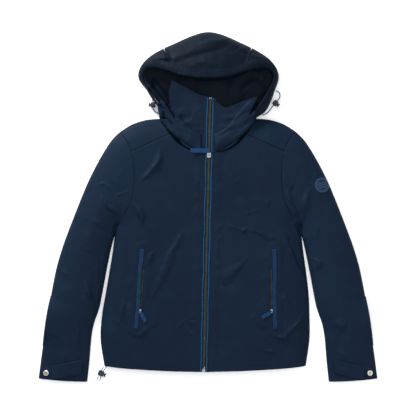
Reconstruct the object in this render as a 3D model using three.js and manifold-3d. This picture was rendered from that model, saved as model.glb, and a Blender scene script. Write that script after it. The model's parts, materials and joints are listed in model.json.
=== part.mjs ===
// A hooded foul weather jacket, zipped to the collar and laid on its back on a flat surface.
// Millimetres. +X is the wearer's left, +Y runs from the hem to the hood, +Z is up from the surface.
// The lower cloth lies flat at z = 0, and the upper cloth is pillowed above it and meets it along every edge.

import * as THREE from "three";
import { mergeVertices } from "three/addons/utils/BufferGeometryUtils.js";
import Module from "manifold-3d";

// ---------- Driving sizes ----------

const CLOTH = 1.2; // shell cloth
const LINING = 0.8; // lining cloth
const SEAM = 0.35; // gap between two pieces that are sewn or pressed together
const LOFT = 30; // height of the upper cloth above its edge
const ROLL = 75; // distance from an edge in which the cloth reaches that height
const EDGE_Z = CLOTH + SEAM; // where the upper cloth meets the lower
const TOP_Z = EDGE_Z + LOFT; // top of the front, where it is flat
const LINING_INSET = 7; // lining inside the shell
const SLEEVE_INSET = 7; // sleeve's lining inside its shell
const CUFF_TAPER = 0.35; // share of the loft that a sleeve loses towards its cuff

const HEM_Y = -444; // hem at the zip
const HEM_RISE = 13; // rise of the hem to the side seams
const NECK_Y = 146; // neck seam at the zip
const BACK_NECK_Y = 236; // neck seam at the back
const COLLAR_TOP_Y = 298; // top of the collar at the zip

const ZIP_FOOT_X = -11.7; // the zip at the hem
const ZIP_LEAN = THREE.MathUtils.degToRad(1.4); // the front leans a little as it lies
const ZIP_LENGTH = (COLLAR_TOP_Y - HEM_Y) / Math.cos(ZIP_LEAN) - 4;
const SLIDER_AT = 584; // slider above the hem, along the zip
const TOOTH_GAP = 0.8; // from the zip's middle to each row of teeth
const TOOTH_W = 2.5;
const TOOTH_T = 2.4;
const TAPE_T = 0.6;
const TAPE_END = 16; // tape's outer edge from the zip's middle
const PIPING = 2.2; // piping's width and height
const PIPING_X = 6.4; // piping's inner edge from the zip's middle
const PLACKET_X = PIPING_X + PIPING + SEAM; // front panel's edge from the zip's middle
const BOX_H = 9; // zip's retainer box
const PIN_H = 14; // zip's insertion pin
const ZIP_TOP = 3; // the rows end this far below the tape's end
const SLIDER_W = 10.4;
const SLIDER_L = 14;
const PLATE_T = 1.2; // slider plates
const FLAP_X = 24; // half width of the wind flap behind the zip

const RIBBON_W = 12; // main pull ribbon
const RIBBON_L = 50;
const RIBBON_T = 1;
const LINK_L = 14; // metal link between slider and ribbon
const LINK_W = 6;
const LINK_T = 1.4;

const POCKET_LENGTH = 119; // pocket zip
const POCKETS = { left: { foot: [171, -284], lean: 0.3 }, right: { foot: [182, -284], lean: 4.2 } };
const WELT_X = 3.3; // blue binding's near edge from the pocket zip's middle
const WELT_W = 10;
const WELT_T = 1.2;
const WELT_BELOW = 44; // binding that runs on below the pocket zip
const WELT_ABOVE = 52; // and above it
const COIL_W = 4.4;
const COIL_T = 1.8;
const POCKET_TAPE = 9; // half the pocket zip's tape
const POCKET_SLIDER_W = 5.2;
const POCKET_SLIDER_L = 9;
const PULL_W = 9.5; // pocket pull ribbons
const PULL_L = 30;
const PULLS = { left: { turn: 28 }, right: { turn: -56 } };
const BAG_W = 120; // pocket bags
const BAG_H = 190;
const BAG_BELOW = 60; // bag below the pocket zip

const BADGE_R = 20;
const BADGE_T = 1.1;
const BADGE_AT = [308, 59];

const TAB_HINGE_X = 340; // cuff tab's sewn end
const TAB_END_X = 423; // cuff tab's free end
const TAB_TOP_Y = -424;
const TAB_W = 38;
const TAB_LIFT = 1.4; // rise of the tab's end, over its snap
const STUD_R = 7.5;
const STUD_AT = [438, -449];
const HANGER_L = 64;
const HANGER_W = 7;
const HANGER_RISE = 5;

const CORD_PLAY = 0.4; // round a cord in its lock
const LOCK_R = 7.4; // cord lock's barrel
const LOCK_Z = 8; // a lock's middle as it lies
const STEM_R = 3; // plunger's stem
const STEM_IN = 1.6; // stem inside the barrel at rest
const HEAD_R = 6; // plunger's head
const HEAD_L = 3;
const PRESS = 2; // plunger's travel
const LOCKS = {
  hood_left: { at: [183, 282], turn: -41.4, length: 13, hole: [1.3, 1.3] },
  hood_right: { at: [-149, 277], turn: 180, length: 13, hole: [1.3, 1.3] },
  hem: { at: [-290, -451], turn: -25.3, length: 16, hole: [3.6, 1.1] },
};
const CORDS = {
  hood_left: {
    diameter: 2.6,
    points: [
      [147.5, 249.2, 10.5], [154.5, 251.6, 10], [162, 256.6, 9.2], [168.5, 264, 8.5], [174, 271.8, 8],
      [178.5, 276.9, 8], [183, 282, 8], [187.5, 287.1, 8], [191.6, 292, 8.1], [194.6, 298, 8.5],
      [195, 304.5, 9], [192.5, 310.5, 9.5], [188, 314, 9.8], [184.2, 314.6, 10],
    ],
  },
  hood_right: {
    diameter: 2.6,
    points: [
      [-122.8, 254, 10], [-130, 253.6, 9.6], [-137, 255, 9], [-143.5, 259, 8.4], [-147.8, 264.5, 8.1],
      [-149, 270, 8], [-149, 277, 8], [-149, 284, 8], [-149.8, 288.5, 8.4], [-150.8, 292.5, 9],
      [-151.3, 296.5, 9.4], [-151, 299.2, 9.6],
    ],
  },
  hem: {
    diameter: 2,
    points: [
      [-283.6, -433.2, 7], [-285, -436.5, 7.6], [-286.7, -440, 8.7], [-288.2, -443, 8.2], [-292.1, -450, 8],
      [-295.5, -457.3, 8], [-298.2, -460.2, 8], [-300.2, -463.3, 8], [-300.2, -467, 8], [-298.2, -469.4, 8],
      [-295, -470, 8], [-292.2, -467.8, 8], [-291.3, -464.2, 8], [-291.4, -459.2, 8], [-287.9, -452, 8],
      [-284, -445, 8.2], [-281.2, -441.2, 8.7], [-278.5, -437.3, 9.2], [-275.6, -432.3, 9.2],
    ],
  },
};

// ---------- Outlines, for the wearer's left; the right mirrors them ----------

const NECK_POINT = [130, 240];
const SHOULDER_TIP = [240, 204];
const PIT = [247, -48];
const YOKE_OUT = [206, 150]; // yoke seam at the armhole
const YOKE_IN = [103, 197]; // yoke seam at the neck

const SHOULDER = [NECK_POINT, [168, 237], [208, 224], SHOULDER_TIP];
const ARMHOLE = [SHOULDER_TIP, [220, 180], YOKE_OUT, [199, 105], [199, 60], [208, 14], [224, -20], PIT];
const YOKE_SHARE = 2 / (ARMHOLE.length - 1); // the yoke seam's place along the armhole
const SLEEVE_OUT = [
  SHOULDER_TIP, [262, 182], [296, 128], [332, 56], [363, -22], [390, -92],
  [411, -160], [425, -228], [437, -300], [449, -376], [461, -466],
];
const SLEEVE_IN = [
  PIT, [263, -110], [277, -180], [288, -240], [297, -282],
  [309, -312], [317, -352], [320, -398], [328, -475],
];
const NECK_SEAM = [NECK_POINT, YOKE_IN, [82, 172], [50, 154], [PLACKET_X, NECK_Y]];
const NECK_YOKE_SHARE = 1 / (NECK_SEAM.length - 1);
// The two sides of the body differ, because the front leans as it lies.
const BODY_SIDE = {
  left: [
    PIT, [257, -110], [268, -180], [274, -240],
    [276, -285], [276, -330], [275, -380], [266, HEM_Y + HEM_RISE],
  ],
  right: [
    PIT, [257, -110], [269, -180], [279, -240],
    [287, -285], [292, -330], [291, -380], [282, HEM_Y + HEM_RISE],
  ],
};

const HOOD_TOP = [0, 476];
const HOOD_EDGE = {
  left: [
    [128, 241], [158, 258], [172, 288], [184, 322], [194, 350],
    [187, 376], [160, 410], [96, 442], [44, 466], HOOD_TOP,
  ],
  right: [
    [124, 241], [121, 262], [141, 292], [172, 322], [192, 352],
    [186, 376], [160, 410], [98, 440], [40, 466], HOOD_TOP,
  ],
};
const FACE_TOP = [0, 343];
const FACE_EDGE = {
  left: [
    [88, 214], [114, 246], [142, 282], [164, 318], [178, 348],
    [168, 371], [128, 372], [88, 358], [44, 346], FACE_TOP,
  ],
  right: [
    [84, 214], [94, 246], [118, 284], [148, 316], [171, 346],
    [166, 371], [126, 370], [88, 355], [44, 345], FACE_TOP,
  ],
};
const FACE_Z = [31, 34, 35, 33, 27, 28, 42, 52, 58, 60]; // height of the face edge, from the neck to the top
const FOLD_Z = 9; // height of the hood's outer fold
const HOOD_HALF_W = 190;

// The collar's halves: the right one stands taller and folds at its outer corner.
const COLLAR = {
  right: {
    outer: [[84, 192], [79, 216], [88, 248], [108, 292], [97, 341]],
    top: [[97, 341], [60, 321], [26, 301], [PLACKET_X, COLLAR_TOP_Y]],
  },
  left: {
    outer: [[86, 192], [83, 216], [106, 248], [130, 284], [132, 297]],
    top: [[132, 297], [90, 284], [42, 266], [PLACKET_X, 290]],
  },
};

const SIDES = { left: 1, right: -1 };

// ---------- Curves and patches ----------

const { lerp: mix, clamp, smoothstep, degToRad } = THREE.MathUtils;
const spread = (n, from = 0, to = 1) => Array.from({ length: n + 1 }, (_, i) => mix(from, to, i / n));

// A smooth curve through points, with t running evenly from point to point.
function through(points, sign = 1) {
  const curve = new THREE.CatmullRomCurve3(points.map(([x, y, z = 0]) => new THREE.Vector3(sign * x, y, z)));
  return (t) => curve.getPoint(clamp(t, 0, 1)).toArray();
}

const piece = (curve, from, to) => (t) => curve(mix(from, to, t));
const line = (a, b) => (t) => a.map((value, i) => mix(value, b[i], t));
const joined = (first, second, join) => (t) =>
  t <= join ? first(t / join) : second((t - join) / (1 - join));

// A patch between four edge curves: low and high run along u, start and end along v.
function coons(low, high, start, end) {
  return (u, v) =>
    [0, 1].map((i) =>
      mix(start(v)[i], end(v)[i], u) + mix(low(u)[i], high(u)[i], v) -
      mix(mix(start(0)[i], end(0)[i], u), mix(start(1)[i], end(1)[i], u), v));
}

// The u and v of a patch, drawn in from its edges by a distance.
function drawn(patch, gap) {
  const span = (a, b) => Math.max(Math.hypot(b[0] - a[0], b[1] - a[1]), 4 * gap);
  return (u, v) => {
    const across = gap / span(patch(0, v), patch(1, v));
    const along = gap / span(patch(u, 0), patch(u, 1));
    return [mix(across, 1 - across, u), mix(along, 1 - along, v)];
  };
}

// Draws a patch in, so that neighbours keep a seam's gap.
function drawnIn(patch, gap) {
  const inner = drawn(patch, gap);
  return (u, v) => patch(...inner(u, v));
}

// A point of the flat triangles that a skin becomes over the grid of us and vs.
function faceted(skin, us, vs) {
  const cell = (list, t) => {
    const i = clamp(list.findLastIndex((start) => start <= t), 0, list.length - 2);
    return [i, (t - list[i]) / (list[i + 1] - list[i])];
  };
  return (u, v) => {
    const [[i, s], [j, t]] = [cell(us, u), cell(vs, v)];
    const [a, b] = [skin(us[i], vs[j]), skin(us[i + 1], vs[j])];
    const [d, c] = [skin(us[i], vs[j + 1]), skin(us[i + 1], vs[j + 1])];
    return a.map((start, k) => (s > t
      ? start + s * (b[k] - start) + t * (c[k] - b[k])
      : start + t * (d[k] - start) + s * (c[k] - d[k])));
  };
}

// ---------- How high the upper cloth lies ----------

const EDGE_LINES = Object.entries(SIDES).flatMap(([side, sign]) =>
  [SHOULDER, SLEEVE_OUT, SLEEVE_IN, BODY_SIDE[side]].map((points) =>
    spread(points.length * 5).map(through(points, sign))));

function fromEdge(x, y) {
  let best = Infinity;
  for (const points of EDGE_LINES)
    for (let i = 1; i < points.length; i++) {
      const [ax, ay] = points[i - 1];
      const [bx, by] = [points[i][0] - ax, points[i][1] - ay];
      const t = clamp(((x - ax) * bx + (y - ay) * by) / (bx * bx + by * by), 0, 1);
      best = Math.min(best, Math.hypot(x - ax - bx * t, y - ay - by * t));
    }
  return best;
}

const pillow = (share) => Math.sqrt(1 - (1 - clamp(share, 0, 1)) ** 2);

// Height of the shell's upper skin, or of a lining that lies inset inside it.
function bodyHeight(x, y, inset = 0) {
  const rest = inset ? EDGE_Z + LINING : EDGE_Z;
  return rest + (LOFT - inset) * pillow((fromEdge(x, y) - inset - SEAM) / ROLL);
}

function sleeveHeight(x, y, inset = 0) {
  const rest = inset ? EDGE_Z + LINING : EDGE_Z;
  const taper = 1 - CUFF_TAPER * smoothstep(-y, 230, 460);
  return rest + (LOFT - inset) * taper * pillow((fromEdge(x, y) - inset - SEAM) / ROLL);
}

// ---------- Solids ----------

const root = new THREE.Group();
const MATERIALS = Object.fromEntries(Object.entries({
  shell: [0x16202c, 0.62, 0], lining: [0x10151c, 0.5, 0], trim: [0x1d4f7c, 0.6, 0], tape: [0x141a20, 0.8, 0],
  teeth: [0x2c2f2c, 0.5, 0], metal: [0xb9b6ae, 0.3, 1], badge: [0x2b4564, 0.55, 0],
  cord: [0x1d5c8f, 0.7, 0], plastic: [0x2a3542, 0.35, 0],
}).map(([name, [color, roughness, metalness]]) =>
  [name, new THREE.MeshStandardMaterial({ color, roughness, metalness })]));

function add(name, geometry, material, parent = root) {
  const mesh = new THREE.Mesh(geometry, MATERIALS[material]);
  mesh.name = name;
  parent.add(mesh);
  return mesh;
}

function group(x, y, z, turn = 0, parent = root) {
  const made = new THREE.Group();
  made.position.set(x, y, z);
  made.rotation.z = turn;
  parent.add(made);
  return made;
}

// A closed mesh from its points and triangles, turned so that its faces point out.
function closed(points, triangles) {
  const positions = points.map(([x, y, z]) => new THREE.Vector3(x, y, z));
  let volume = 0;
  for (let i = 0; i < triangles.length; i += 3) {
    const [a, b, c] = [0, 1, 2].map((k) => positions[triangles[i + k]]);
    volume += a.dot(b.clone().cross(c));
  }
  const geometry = new THREE.BufferGeometry().setFromPoints(positions);
  geometry.setIndex(volume < 0 ? [...triangles].reverse() : triangles);
  geometry.computeVertexNormals();
  return geometry;
}

// A solid between two skins over the same grid of u and v.
function between(upper, lower, us, vs) {
  const grid = (skin) => vs.flatMap((v) => us.map((u) => skin(u, v)));
  const points = [...grid(upper), ...grid(lower)];
  const layer = points.length / 2;
  const [nu, nv] = [us.length - 1, vs.length - 1];
  const at = (i, j) => j * us.length + i;
  const triangles = [];
  const quad = (a, b, c, d) => triangles.push(a, b, c, a, c, d);
  for (let j = 0; j < nv; j++)
    for (let i = 0; i < nu; i++) {
      quad(at(i, j), at(i + 1, j), at(i + 1, j + 1), at(i, j + 1));
      quad(...[at(i, j), at(i, j + 1), at(i + 1, j + 1), at(i + 1, j)].map((k) => k + layer));
    }
  const rim = (a, b) => quad(b, a, a + layer, b + layer);
  for (let i = 0; i < nu; i++) {
    rim(at(i, 0), at(i + 1, 0));
    rim(at(i + 1, nv), at(i, nv));
  }
  for (let j = 0; j < nv; j++) {
    rim(at(nu, j), at(nu, j + 1));
    rim(at(0, j + 1), at(0, j));
  }
  return closed(points, triangles);
}

// Cloth laid over a plan patch, its upper skin at height(x, y). Its lower skin lies straight
// below the upper skin's own triangles, so the two never cross. It is drawn in by the cloth's
// thickness and never goes below floor, so that its edges come down to a flat rim.
function cloth(patch, height, thick, us, vs, floor = 0) {
  const upper = (u, v) => {
    const [x, y] = patch(u, v);
    return [x, y, height(x, y)];
  };
  const facets = faceted(upper, us, vs);
  const inner = drawn(patch, thick);
  const lower = (u, v) => {
    const [x, y, z] = facets(...inner(u, v));
    return [x, y, Math.max(z - thick, floor)];
  };
  return between(upper, lower, us, vs);
}

const flatCloth = (patch, bottom, thick, us, vs) =>
  between((u, v) => [...patch(u, v), bottom + thick], (u, v) => [...patch(u, v), bottom], us, vs);

const box = (x0, x1, y0, y1, z0, z1) =>
  new THREE.BoxGeometry(x1 - x0, y1 - y0, z1 - z0).translate((x0 + x1) / 2, (y0 + y1) / 2, (z0 + z1) / 2);

// A plate with rounded corners, between x0 and x1, y0 and y1, standing thick above z.
function plate(x0, x1, y0, y1, z, thick, r) {
  const shape = new THREE.Shape();
  shape.absarc(x1 - r, y1 - r, r, 0, Math.PI / 2);
  shape.absarc(x0 + r, y1 - r, r, Math.PI / 2, Math.PI);
  shape.absarc(x0 + r, y0 + r, r, Math.PI, Math.PI * 1.5);
  shape.absarc(x1 - r, y0 + r, r, Math.PI * 1.5, Math.PI * 2);
  const settings = { depth: thick, bevelEnabled: false, curveSegments: 3 };
  return new THREE.ExtrudeGeometry(shape, settings).translate(0, 0, z);
}

// A round piece about +Z from a profile of [radius, height] points that starts and ends on the axis.
const turned = (profile, segments = 16) =>
  new THREE.LatheGeometry(profile.map(([r, z]) => new THREE.Vector2(r, z)), segments).rotateX(Math.PI / 2);

const disc = (r, z, thick, segments) => turned([[0, z], [r, z], [r, z + thick], [0, z + thick]], segments);

const wasm = await Module();
wasm.setup();

function solid(geometry) {
  const bare = geometry.clone();
  bare.deleteAttribute("normal");
  bare.deleteAttribute("uv");
  const merged = mergeVertices(bare, 1e-4);
  return new wasm.Manifold(new wasm.Mesh({
    numProp: 3,
    vertProperties: new Float32Array(merged.attributes.position.array),
    triVerts: new Uint32Array(merged.index.array),
  }));
}

function combined(base, added, cut = []) {
  let made = solid(base);
  for (const geometry of added) made = made.add(solid(geometry));
  for (const geometry of cut) made = made.subtract(solid(geometry));
  const mesh = made.getMesh();
  const geometry = new THREE.BufferGeometry();
  geometry.setAttribute("position", new THREE.Float32BufferAttribute(mesh.vertProperties, 3));
  geometry.setIndex(Array.from(mesh.triVerts));
  geometry.computeVertexNormals();
  return geometry;
}

// A group that stands on a surface at (x, y), with its own +Z along the surface's normal.
function seat(x, y, height) {
  const step = 2;
  const slopeX = (height(x + step, y) - height(x - step, y)) / (2 * step);
  const slopeY = (height(x, y + step) - height(x, y - step)) / (2 * step);
  const made = group(x, y, height(x, y));
  const normal = new THREE.Vector3(-slopeX, -slopeY, 1).normalize();
  made.quaternion.setFromUnitVectors(new THREE.Vector3(0, 0, 1), normal);
  return made;
}

// ---------- The body ----------

const zipX = (y) => ZIP_FOOT_X + Math.tan(ZIP_LEAN) * (y - HEM_Y);
const besideZip = (y, offset) => [zipX(y) + offset / Math.cos(ZIP_LEAN), y];
const PIT_SHARE = 0.64; // the underarm's place along a side edge

// Side seam from the hem to the underarm, then the armhole up to the yoke.
const sideEdge = (side, sign) =>
  joined(piece(through(BODY_SIDE[side], sign), 1, 0), piece(through(ARMHOLE, sign), 1, YOKE_SHARE), PIT_SHARE);

function hemEdge(side, sign) {
  const [x, y] = BODY_SIDE[side].at(-1);
  const end = besideZip(HEM_Y, sign * PLACKET_X);
  return (t) => [mix(sign * x, end[0], t), mix(y, end[1], Math.sin((t * Math.PI) / 2))];
}

// Neck seam from the yoke to the zip, moved over so that it ends on the leaning zip.
function neckEdge(sign) {
  const seam = piece(through(NECK_SEAM, sign), NECK_YOKE_SHARE, 1);
  const slip = besideZip(NECK_Y, sign * PLACKET_X)[0] - seam(1)[0];
  return (t) => [seam(t)[0] + slip * t, seam(t)[1]];
}

const yokeSeam = (sign) => line([sign * YOKE_OUT[0], YOKE_OUT[1]], [sign * YOKE_IN[0], YOKE_IN[1]]);

function frontPatch(side, sign) {
  const top = joined(yokeSeam(sign), neckEdge(sign), 0.5);
  const placket = line(besideZip(HEM_Y, sign * PLACKET_X), besideZip(NECK_Y, sign * PLACKET_X));
  return coons(hemEdge(side, sign), top, sideEdge(side, sign), placket);
}

const FRONT_US = [0, 0.05, 0.12, 0.2, 0.3, 0.4, ...spread(3, 0.5, 1)];
const YOKE_VS = [0, 0.25, 0.5, 0.75, 0.92, 1];
const BELOW_PIT = spread(5, 0, PIT_SHARE).slice(0, -1);
const FRONT_VS = [...BELOW_PIT, ...spread(5, PIT_SHARE, 1), mix(PIT_SHARE, 1, 0.45)].sort();

function addFront(side, sign) {
  const { foot, lean } = POCKETS[side];
  const slot = box(-COIL_W / 2 - SEAM, COIL_W / 2 + SEAM, -SEAM, POCKET_LENGTH + SEAM, 0, 2 * TOP_Z)
    .rotateZ(sign * degToRad(lean)).translate(sign * foot[0], foot[1], 0);
  const panel = cloth(drawnIn(frontPatch(side, sign), SEAM / 2), bodyHeight, CLOTH, FRONT_US, FRONT_VS, EDGE_Z);
  add(`front_panel_${side}`, combined(panel, [], [slot]), "shell");
  const yoke = coons(
    yokeSeam(sign), piece(through(SHOULDER, sign), 1, 0),
    piece(through(ARMHOLE, sign), YOKE_SHARE, 0), piece(through(NECK_SEAM, sign), NECK_YOKE_SHARE, 0));
  const patch = drawnIn(yoke, SEAM / 2);
  add(`front_yoke_${side}`, cloth(patch, bodyHeight, CLOTH, spread(6), YOKE_VS, EDGE_Z), "shell");
}

function addBack() {
  const [right, left] = [sideEdge("right", -1), sideEdge("left", 1)];
  const hem = joined(hemEdge("right", -1), piece(hemEdge("left", 1), 1, 0), 0.5);
  const seam = line([-YOKE_OUT[0], YOKE_OUT[1]], YOKE_OUT);
  const panel = drawnIn(coons(hem, seam, right, left), SEAM / 2);
  add("back_panel", flatCloth(panel, 0, CLOTH, spread(6), FRONT_VS), "shell");
  const neck = line([-NECK_POINT[0], BACK_NECK_Y], [NECK_POINT[0], BACK_NECK_Y]);
  const top = joined(joined(piece(through(SHOULDER, -1), 1, 0), neck, 0.4), through(SHOULDER), 0.75);
  const sides = [-1, 1].map((sign) => piece(through(ARMHOLE, sign), YOKE_SHARE, 0));
  const yoke = drawnIn(coons(seam, top, ...sides), SEAM / 2);
  add("back_yoke", flatCloth(yoke, 0, CLOTH, [0, 0.15, 0.3, 0.5, 0.75, 0.88, 1], spread(2)), "shell");
}

function addLinings() {
  for (const [side, sign] of Object.entries(SIDES)) {
    const patch = drawnIn(frontPatch(side, sign), LINING_INSET);
    const share = (FLAP_X + SEAM - PLACKET_X - LINING_INSET) / (BODY_SIDE[side][3][0] - PLACKET_X);
    const inner = (u, v) => patch(mix(0.01, 0.99 - share, u), mix(0.02, 0.95, v));
    const height = (x, y) => bodyHeight(x, y, LINING_INSET);
    const made = cloth(inner, height, LINING, [0, 0.05, 0.12, 0.25, 0.6, 1], FRONT_VS, EDGE_Z + LINING);
    add(`lining_front_${side}`, made, "lining");
  }
  const patch = coons(
    joined(hemEdge("right", -1), piece(hemEdge("left", 1), 1, 0), 0.5),
    line([-YOKE_OUT[0], YOKE_OUT[1]], YOKE_OUT),
    sideEdge("right", -1), sideEdge("left", 1));
  const made = flatCloth(drawnIn(patch, LINING_INSET), CLOTH + SEAM, LINING, spread(4), FRONT_VS);
  add("lining_back", made, "lining");
  const flap = flatCloth(
    (u, v) => besideZip(mix(HEM_Y + LINING_INSET, COLLAR_TOP_Y - LINING_INSET, v), mix(-FLAP_X, FLAP_X, u)),
    TEETH_Z - PLATE_T - 3 * SEAM - LINING, LINING, [0, 1], spread(2));
  add("wind_flap", flap, "lining");
}

// ---------- Sleeves ----------

const CORNER_SHARE = 5 / (ARMHOLE.length - 1); // the patch's corner along the armhole
const SLEEVE_PIT = 0.12; // the underarm along the patch's inner edge
const SLEEVE_US = [0, 0.05, ...spread(3, 0.2, 0.8), 0.95, 1];
const SLEEVE_VS = [0, SLEEVE_PIT / 2, ...spread(11, SLEEVE_PIT, 1)];

// The patch's corner is above the underarm, so that the underarm's hollow lies along an edge.
function sleevePatch(sign) {
  const armhole = through(ARMHOLE, sign);
  const out = through(SLEEVE_OUT, sign);
  const inn = joined(piece(armhole, CORNER_SHARE, 1), through(SLEEVE_IN, sign), SLEEVE_PIT);
  return coons(piece(armhole, 0, CORNER_SHARE), line(out(1), inn(1)), out, inn);
}

function addSleeve(side, sign) {
  const patch = drawnIn(sleevePatch(sign), SEAM);
  add(`sleeve_upper_${side}`, cloth(patch, sleeveHeight, CLOTH, SLEEVE_US, SLEEVE_VS, EDGE_Z), "shell");
  add(`sleeve_under_${side}`, flatCloth(patch, 0, CLOTH, SLEEVE_US, SLEEVE_VS), "shell");
  addSleeveLining(side, sign);
}

// The sleeve's lining is a flat tube: its ring runs over the top and back underneath.
function addSleeveLining(side, sign) {
  const top = [0, 0.06, 0.2, 0.5, 0.8, 0.94, 1];
  const along = SLEEVE_VS.slice(3); // it starts below the underarm
  const rest = CLOTH + SEAM;
  const patch = drawnIn(sleevePatch(sign), SLEEVE_INSET);
  const outer = (u, v) => {
    const [x, y] = patch(u, v);
    return [x, y, Math.max(sleeveHeight(x, y, SLEEVE_INSET), rest + LINING)];
  };
  const facets = faceted(outer, top, along);
  const inner = (u, v) => {
    const [[ax, ay], [bx, by]] = [outer(0, v), outer(1, v)];
    const share = (2 * LINING) / Math.hypot(bx - ax, by - ay);
    const [x, y, z] = facets(mix(share, 1 - share, u), v);
    return [x, y, Math.max(z - LINING, rest + 2 * LINING)];
  };
  const ring = (skin, floor) => (v) => {
    const over = top.map((u) => skin(u, v));
    return [...over, ...over.slice(1, -1).reverse().map(([x, y]) => [x, y, floor])];
  };
  const skins = [along.map(ring(outer, rest)), along.map(ring(inner, rest + LINING))];
  const count = skins[0][0].length;
  const at = (skin, j, i) => (skin * along.length + j) * count + (i % count);
  const triangles = [];
  const quad = (a, b, c, d) => triangles.push(a, b, c, a, c, d);
  const last = along.length - 1;
  for (let i = 0; i < count; i++) {
    for (let j = 0; j < last; j++) {
      quad(at(0, j, i), at(0, j, i + 1), at(0, j + 1, i + 1), at(0, j + 1, i));
      quad(at(1, j, i), at(1, j + 1, i), at(1, j + 1, i + 1), at(1, j, i + 1));
    }
    quad(at(0, 0, i + 1), at(0, 0, i), at(1, 0, i), at(1, 0, i + 1));
    quad(at(0, last, i), at(0, last, i + 1), at(1, last, i + 1), at(1, last, i));
  }
  add(`sleeve_lining_${side}`, closed(skins.flat(2), triangles), "lining");
}

// ---------- Cuffs ----------

function addCuff(side, sign) {
  const outside = (x, y) => sleeveHeight(x, y);
  const mirrored = (x, y) => outside(Math.abs(x), y);
  const lift = (x) => SEAM + CLOTH + TAB_LIFT * smoothstep(Math.abs(x), TAB_HINGE_X, TAB_END_X);
  const patch = (u, v) => [sign * mix(TAB_HINGE_X, TAB_END_X, u), TAB_TOP_Y + mix(12, -5, u) - TAB_W * v];
  const height = (x, y) => mirrored(x, y) + lift(x);
  add(`cuff_tab_${side}`, cloth(patch, height, CLOTH, spread(8), spread(2), 0), "shell");

  const stud = seat(sign * STUD_AT[0], STUD_AT[1], mirrored);
  const profile = [
    [0, SEAM], [STUD_R, SEAM], [STUD_R, 1.2], [STUD_R - 1.2, 1.9], [4.2, 1.9],
    [3.6, 1.1], [2.6, 1.1], [2.3, 2.1], [0, 2.5],
  ];
  add(`cuff_stud_${side}`, turned(profile), "metal", stud);
}

// A round badge that follows the sleeve.
function addBadge() {
  const patch = (u, v) => {
    const [a, b] = [2 * u - 1, 2 * v - 1];
    const along = (one, other) => BADGE_R * one * Math.sqrt(1 - (other * other) / 2);
    return [BADGE_AT[0] + along(a, b), BADGE_AT[1] + along(b, a)];
  };
  const skin = (lift) => (u, v) => {
    const [x, y] = patch(u, v);
    return [x, y, sleeveHeight(x, y) + lift];
  };
  add("sleeve_badge", between(skin(SEAM + BADGE_T), skin(SEAM), spread(8), spread(8)), "badge");
}

// ---------- The hood ----------

// A rim of the hood as one run from the wearer's right, over the top, to the left.
function rim(edges, heights) {
  const raised = (points) => points.map(([x, y], i) => [x, y, heights ? heights[i] : FOLD_Z]);
  const right = raised(edges.right).map(([x, y, z]) => [-x, y, z]);
  return through([...right, ...raised(edges.left).reverse().slice(1)]);
}

const faceRim = rim(FACE_EDGE, FACE_Z);
const foldRim = rim(HOOD_EDGE);
const FOLD_AT = 0.5; // where the hood turns under, between its face edge and the neck

// The hood's skin at a depth inside its outside: v runs from the face edge over to the fold,
// then underneath to the neck. under is its height where it lies flat.
function hoodSkin(u, v, depth, under) {
  const [fx, fy, fz] = faceRim(u);
  const [sx, sy, sz] = foldRim(u);
  const shrink = 1 - depth / HOOD_HALF_W;
  const [ex, ey] = [sx * shrink, mix(BACK_NECK_Y, sy, shrink)];
  if (v <= FOLD_AT) {
    const t = v / FOLD_AT;
    return [mix(fx, ex, t), mix(fy, ey, t), mix(sz, fz - depth, pillow(1 - t))];
  }
  const t = (v - FOLD_AT) / (1 - FOLD_AT);
  const neck = [mix(-1, 1, u) * (HOOD_EDGE.right[0][0] - depth), BACK_NECK_Y + SEAM];
  return [mix(ex, neck[0], t), mix(ey, neck[1], t), mix(under, sz, 1 - pillow(5 * t))];
}

const HOOD_VS = [0, 0.1, 0.25, 0.38, 0.46, FOLD_AT, 0.52, 0.56, 0.6, 0.8, 1];
const HOOD_SEAM = 0.37; // the seams between the hood's middle and its sides, along the rims
const HOOD_GAP = 0.0007; // a seam's gap, along the rims

function addHood() {
  const panels = {
    right: [0.012, HOOD_SEAM - HOOD_GAP],
    centre: [HOOD_SEAM + HOOD_GAP, 1 - HOOD_SEAM - HOOD_GAP],
    left: [1 - HOOD_SEAM + HOOD_GAP, 0.988],
  };
  for (const [name, [from, to]] of Object.entries(panels)) {
    const skin = (depth) => (u, v) => hoodSkin(mix(from, to, u), v, depth, depth);
    add(`hood_${name}_panel`, between(skin(0), skin(CLOTH), spread(9), HOOD_VS), "shell");
  }
  const skin = (depth) => (u, v) =>
    hoodSkin(mix(0.06, 0.94, u), mix(0.05, 0.98, v), LINING_INSET + depth, CLOTH + 2 * SEAM + depth);
  add("hood_lining", between(skin(0), skin(LINING), spread(22), HOOD_VS), "lining");
}

// ---------- The collar ----------

const COLLAR_KICK = 9; // rise of the collar's outer corners
const collarHeight = (x, y) =>
  TOP_Z + COLLAR_KICK * smoothstep(Math.abs(x), 62, 100) * smoothstep(y, 225, 300);

function collarPatch(side, sign) {
  const outer = through(COLLAR[side].outer, sign);
  const topEdge = through(COLLAR[side].top, sign);
  const slip = besideZip(COLLAR[side].top.at(-1)[1], sign * PLACKET_X)[0] - topEdge(1)[0];
  const upper = (t) => [topEdge(t)[0] + slip * t, topEdge(t)[1]];
  const seam = neckEdge(sign);
  const neck = (t) => {
    const start = outer(0);
    return [0, 1].map((i) => seam(t)[i] + (start[i] - seam(0)[i]) * (1 - t) ** 2);
  };
  return coons(neck, upper, outer, line(neck(1), upper(1)));
}

function addCollar(side, sign) {
  const patch = drawnIn(collarPatch(side, sign), SEAM);
  const skin = (drop) => (u, v) => {
    const [x, y] = patch(u, v);
    return [x, y, collarHeight(x, y) - drop];
  };
  const us = spread(3);
  const vs = spread(6);
  add(`collar_outer_${side}`, between(skin(0), skin(CLOTH), us, vs), "shell");
  const facing = between(skin(CLOTH + SEAM), skin(CLOTH + SEAM + LINING), us.slice(0, -1), vs.slice(1));
  add(`collar_facing_${side}`, facing, "lining");
}

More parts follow.
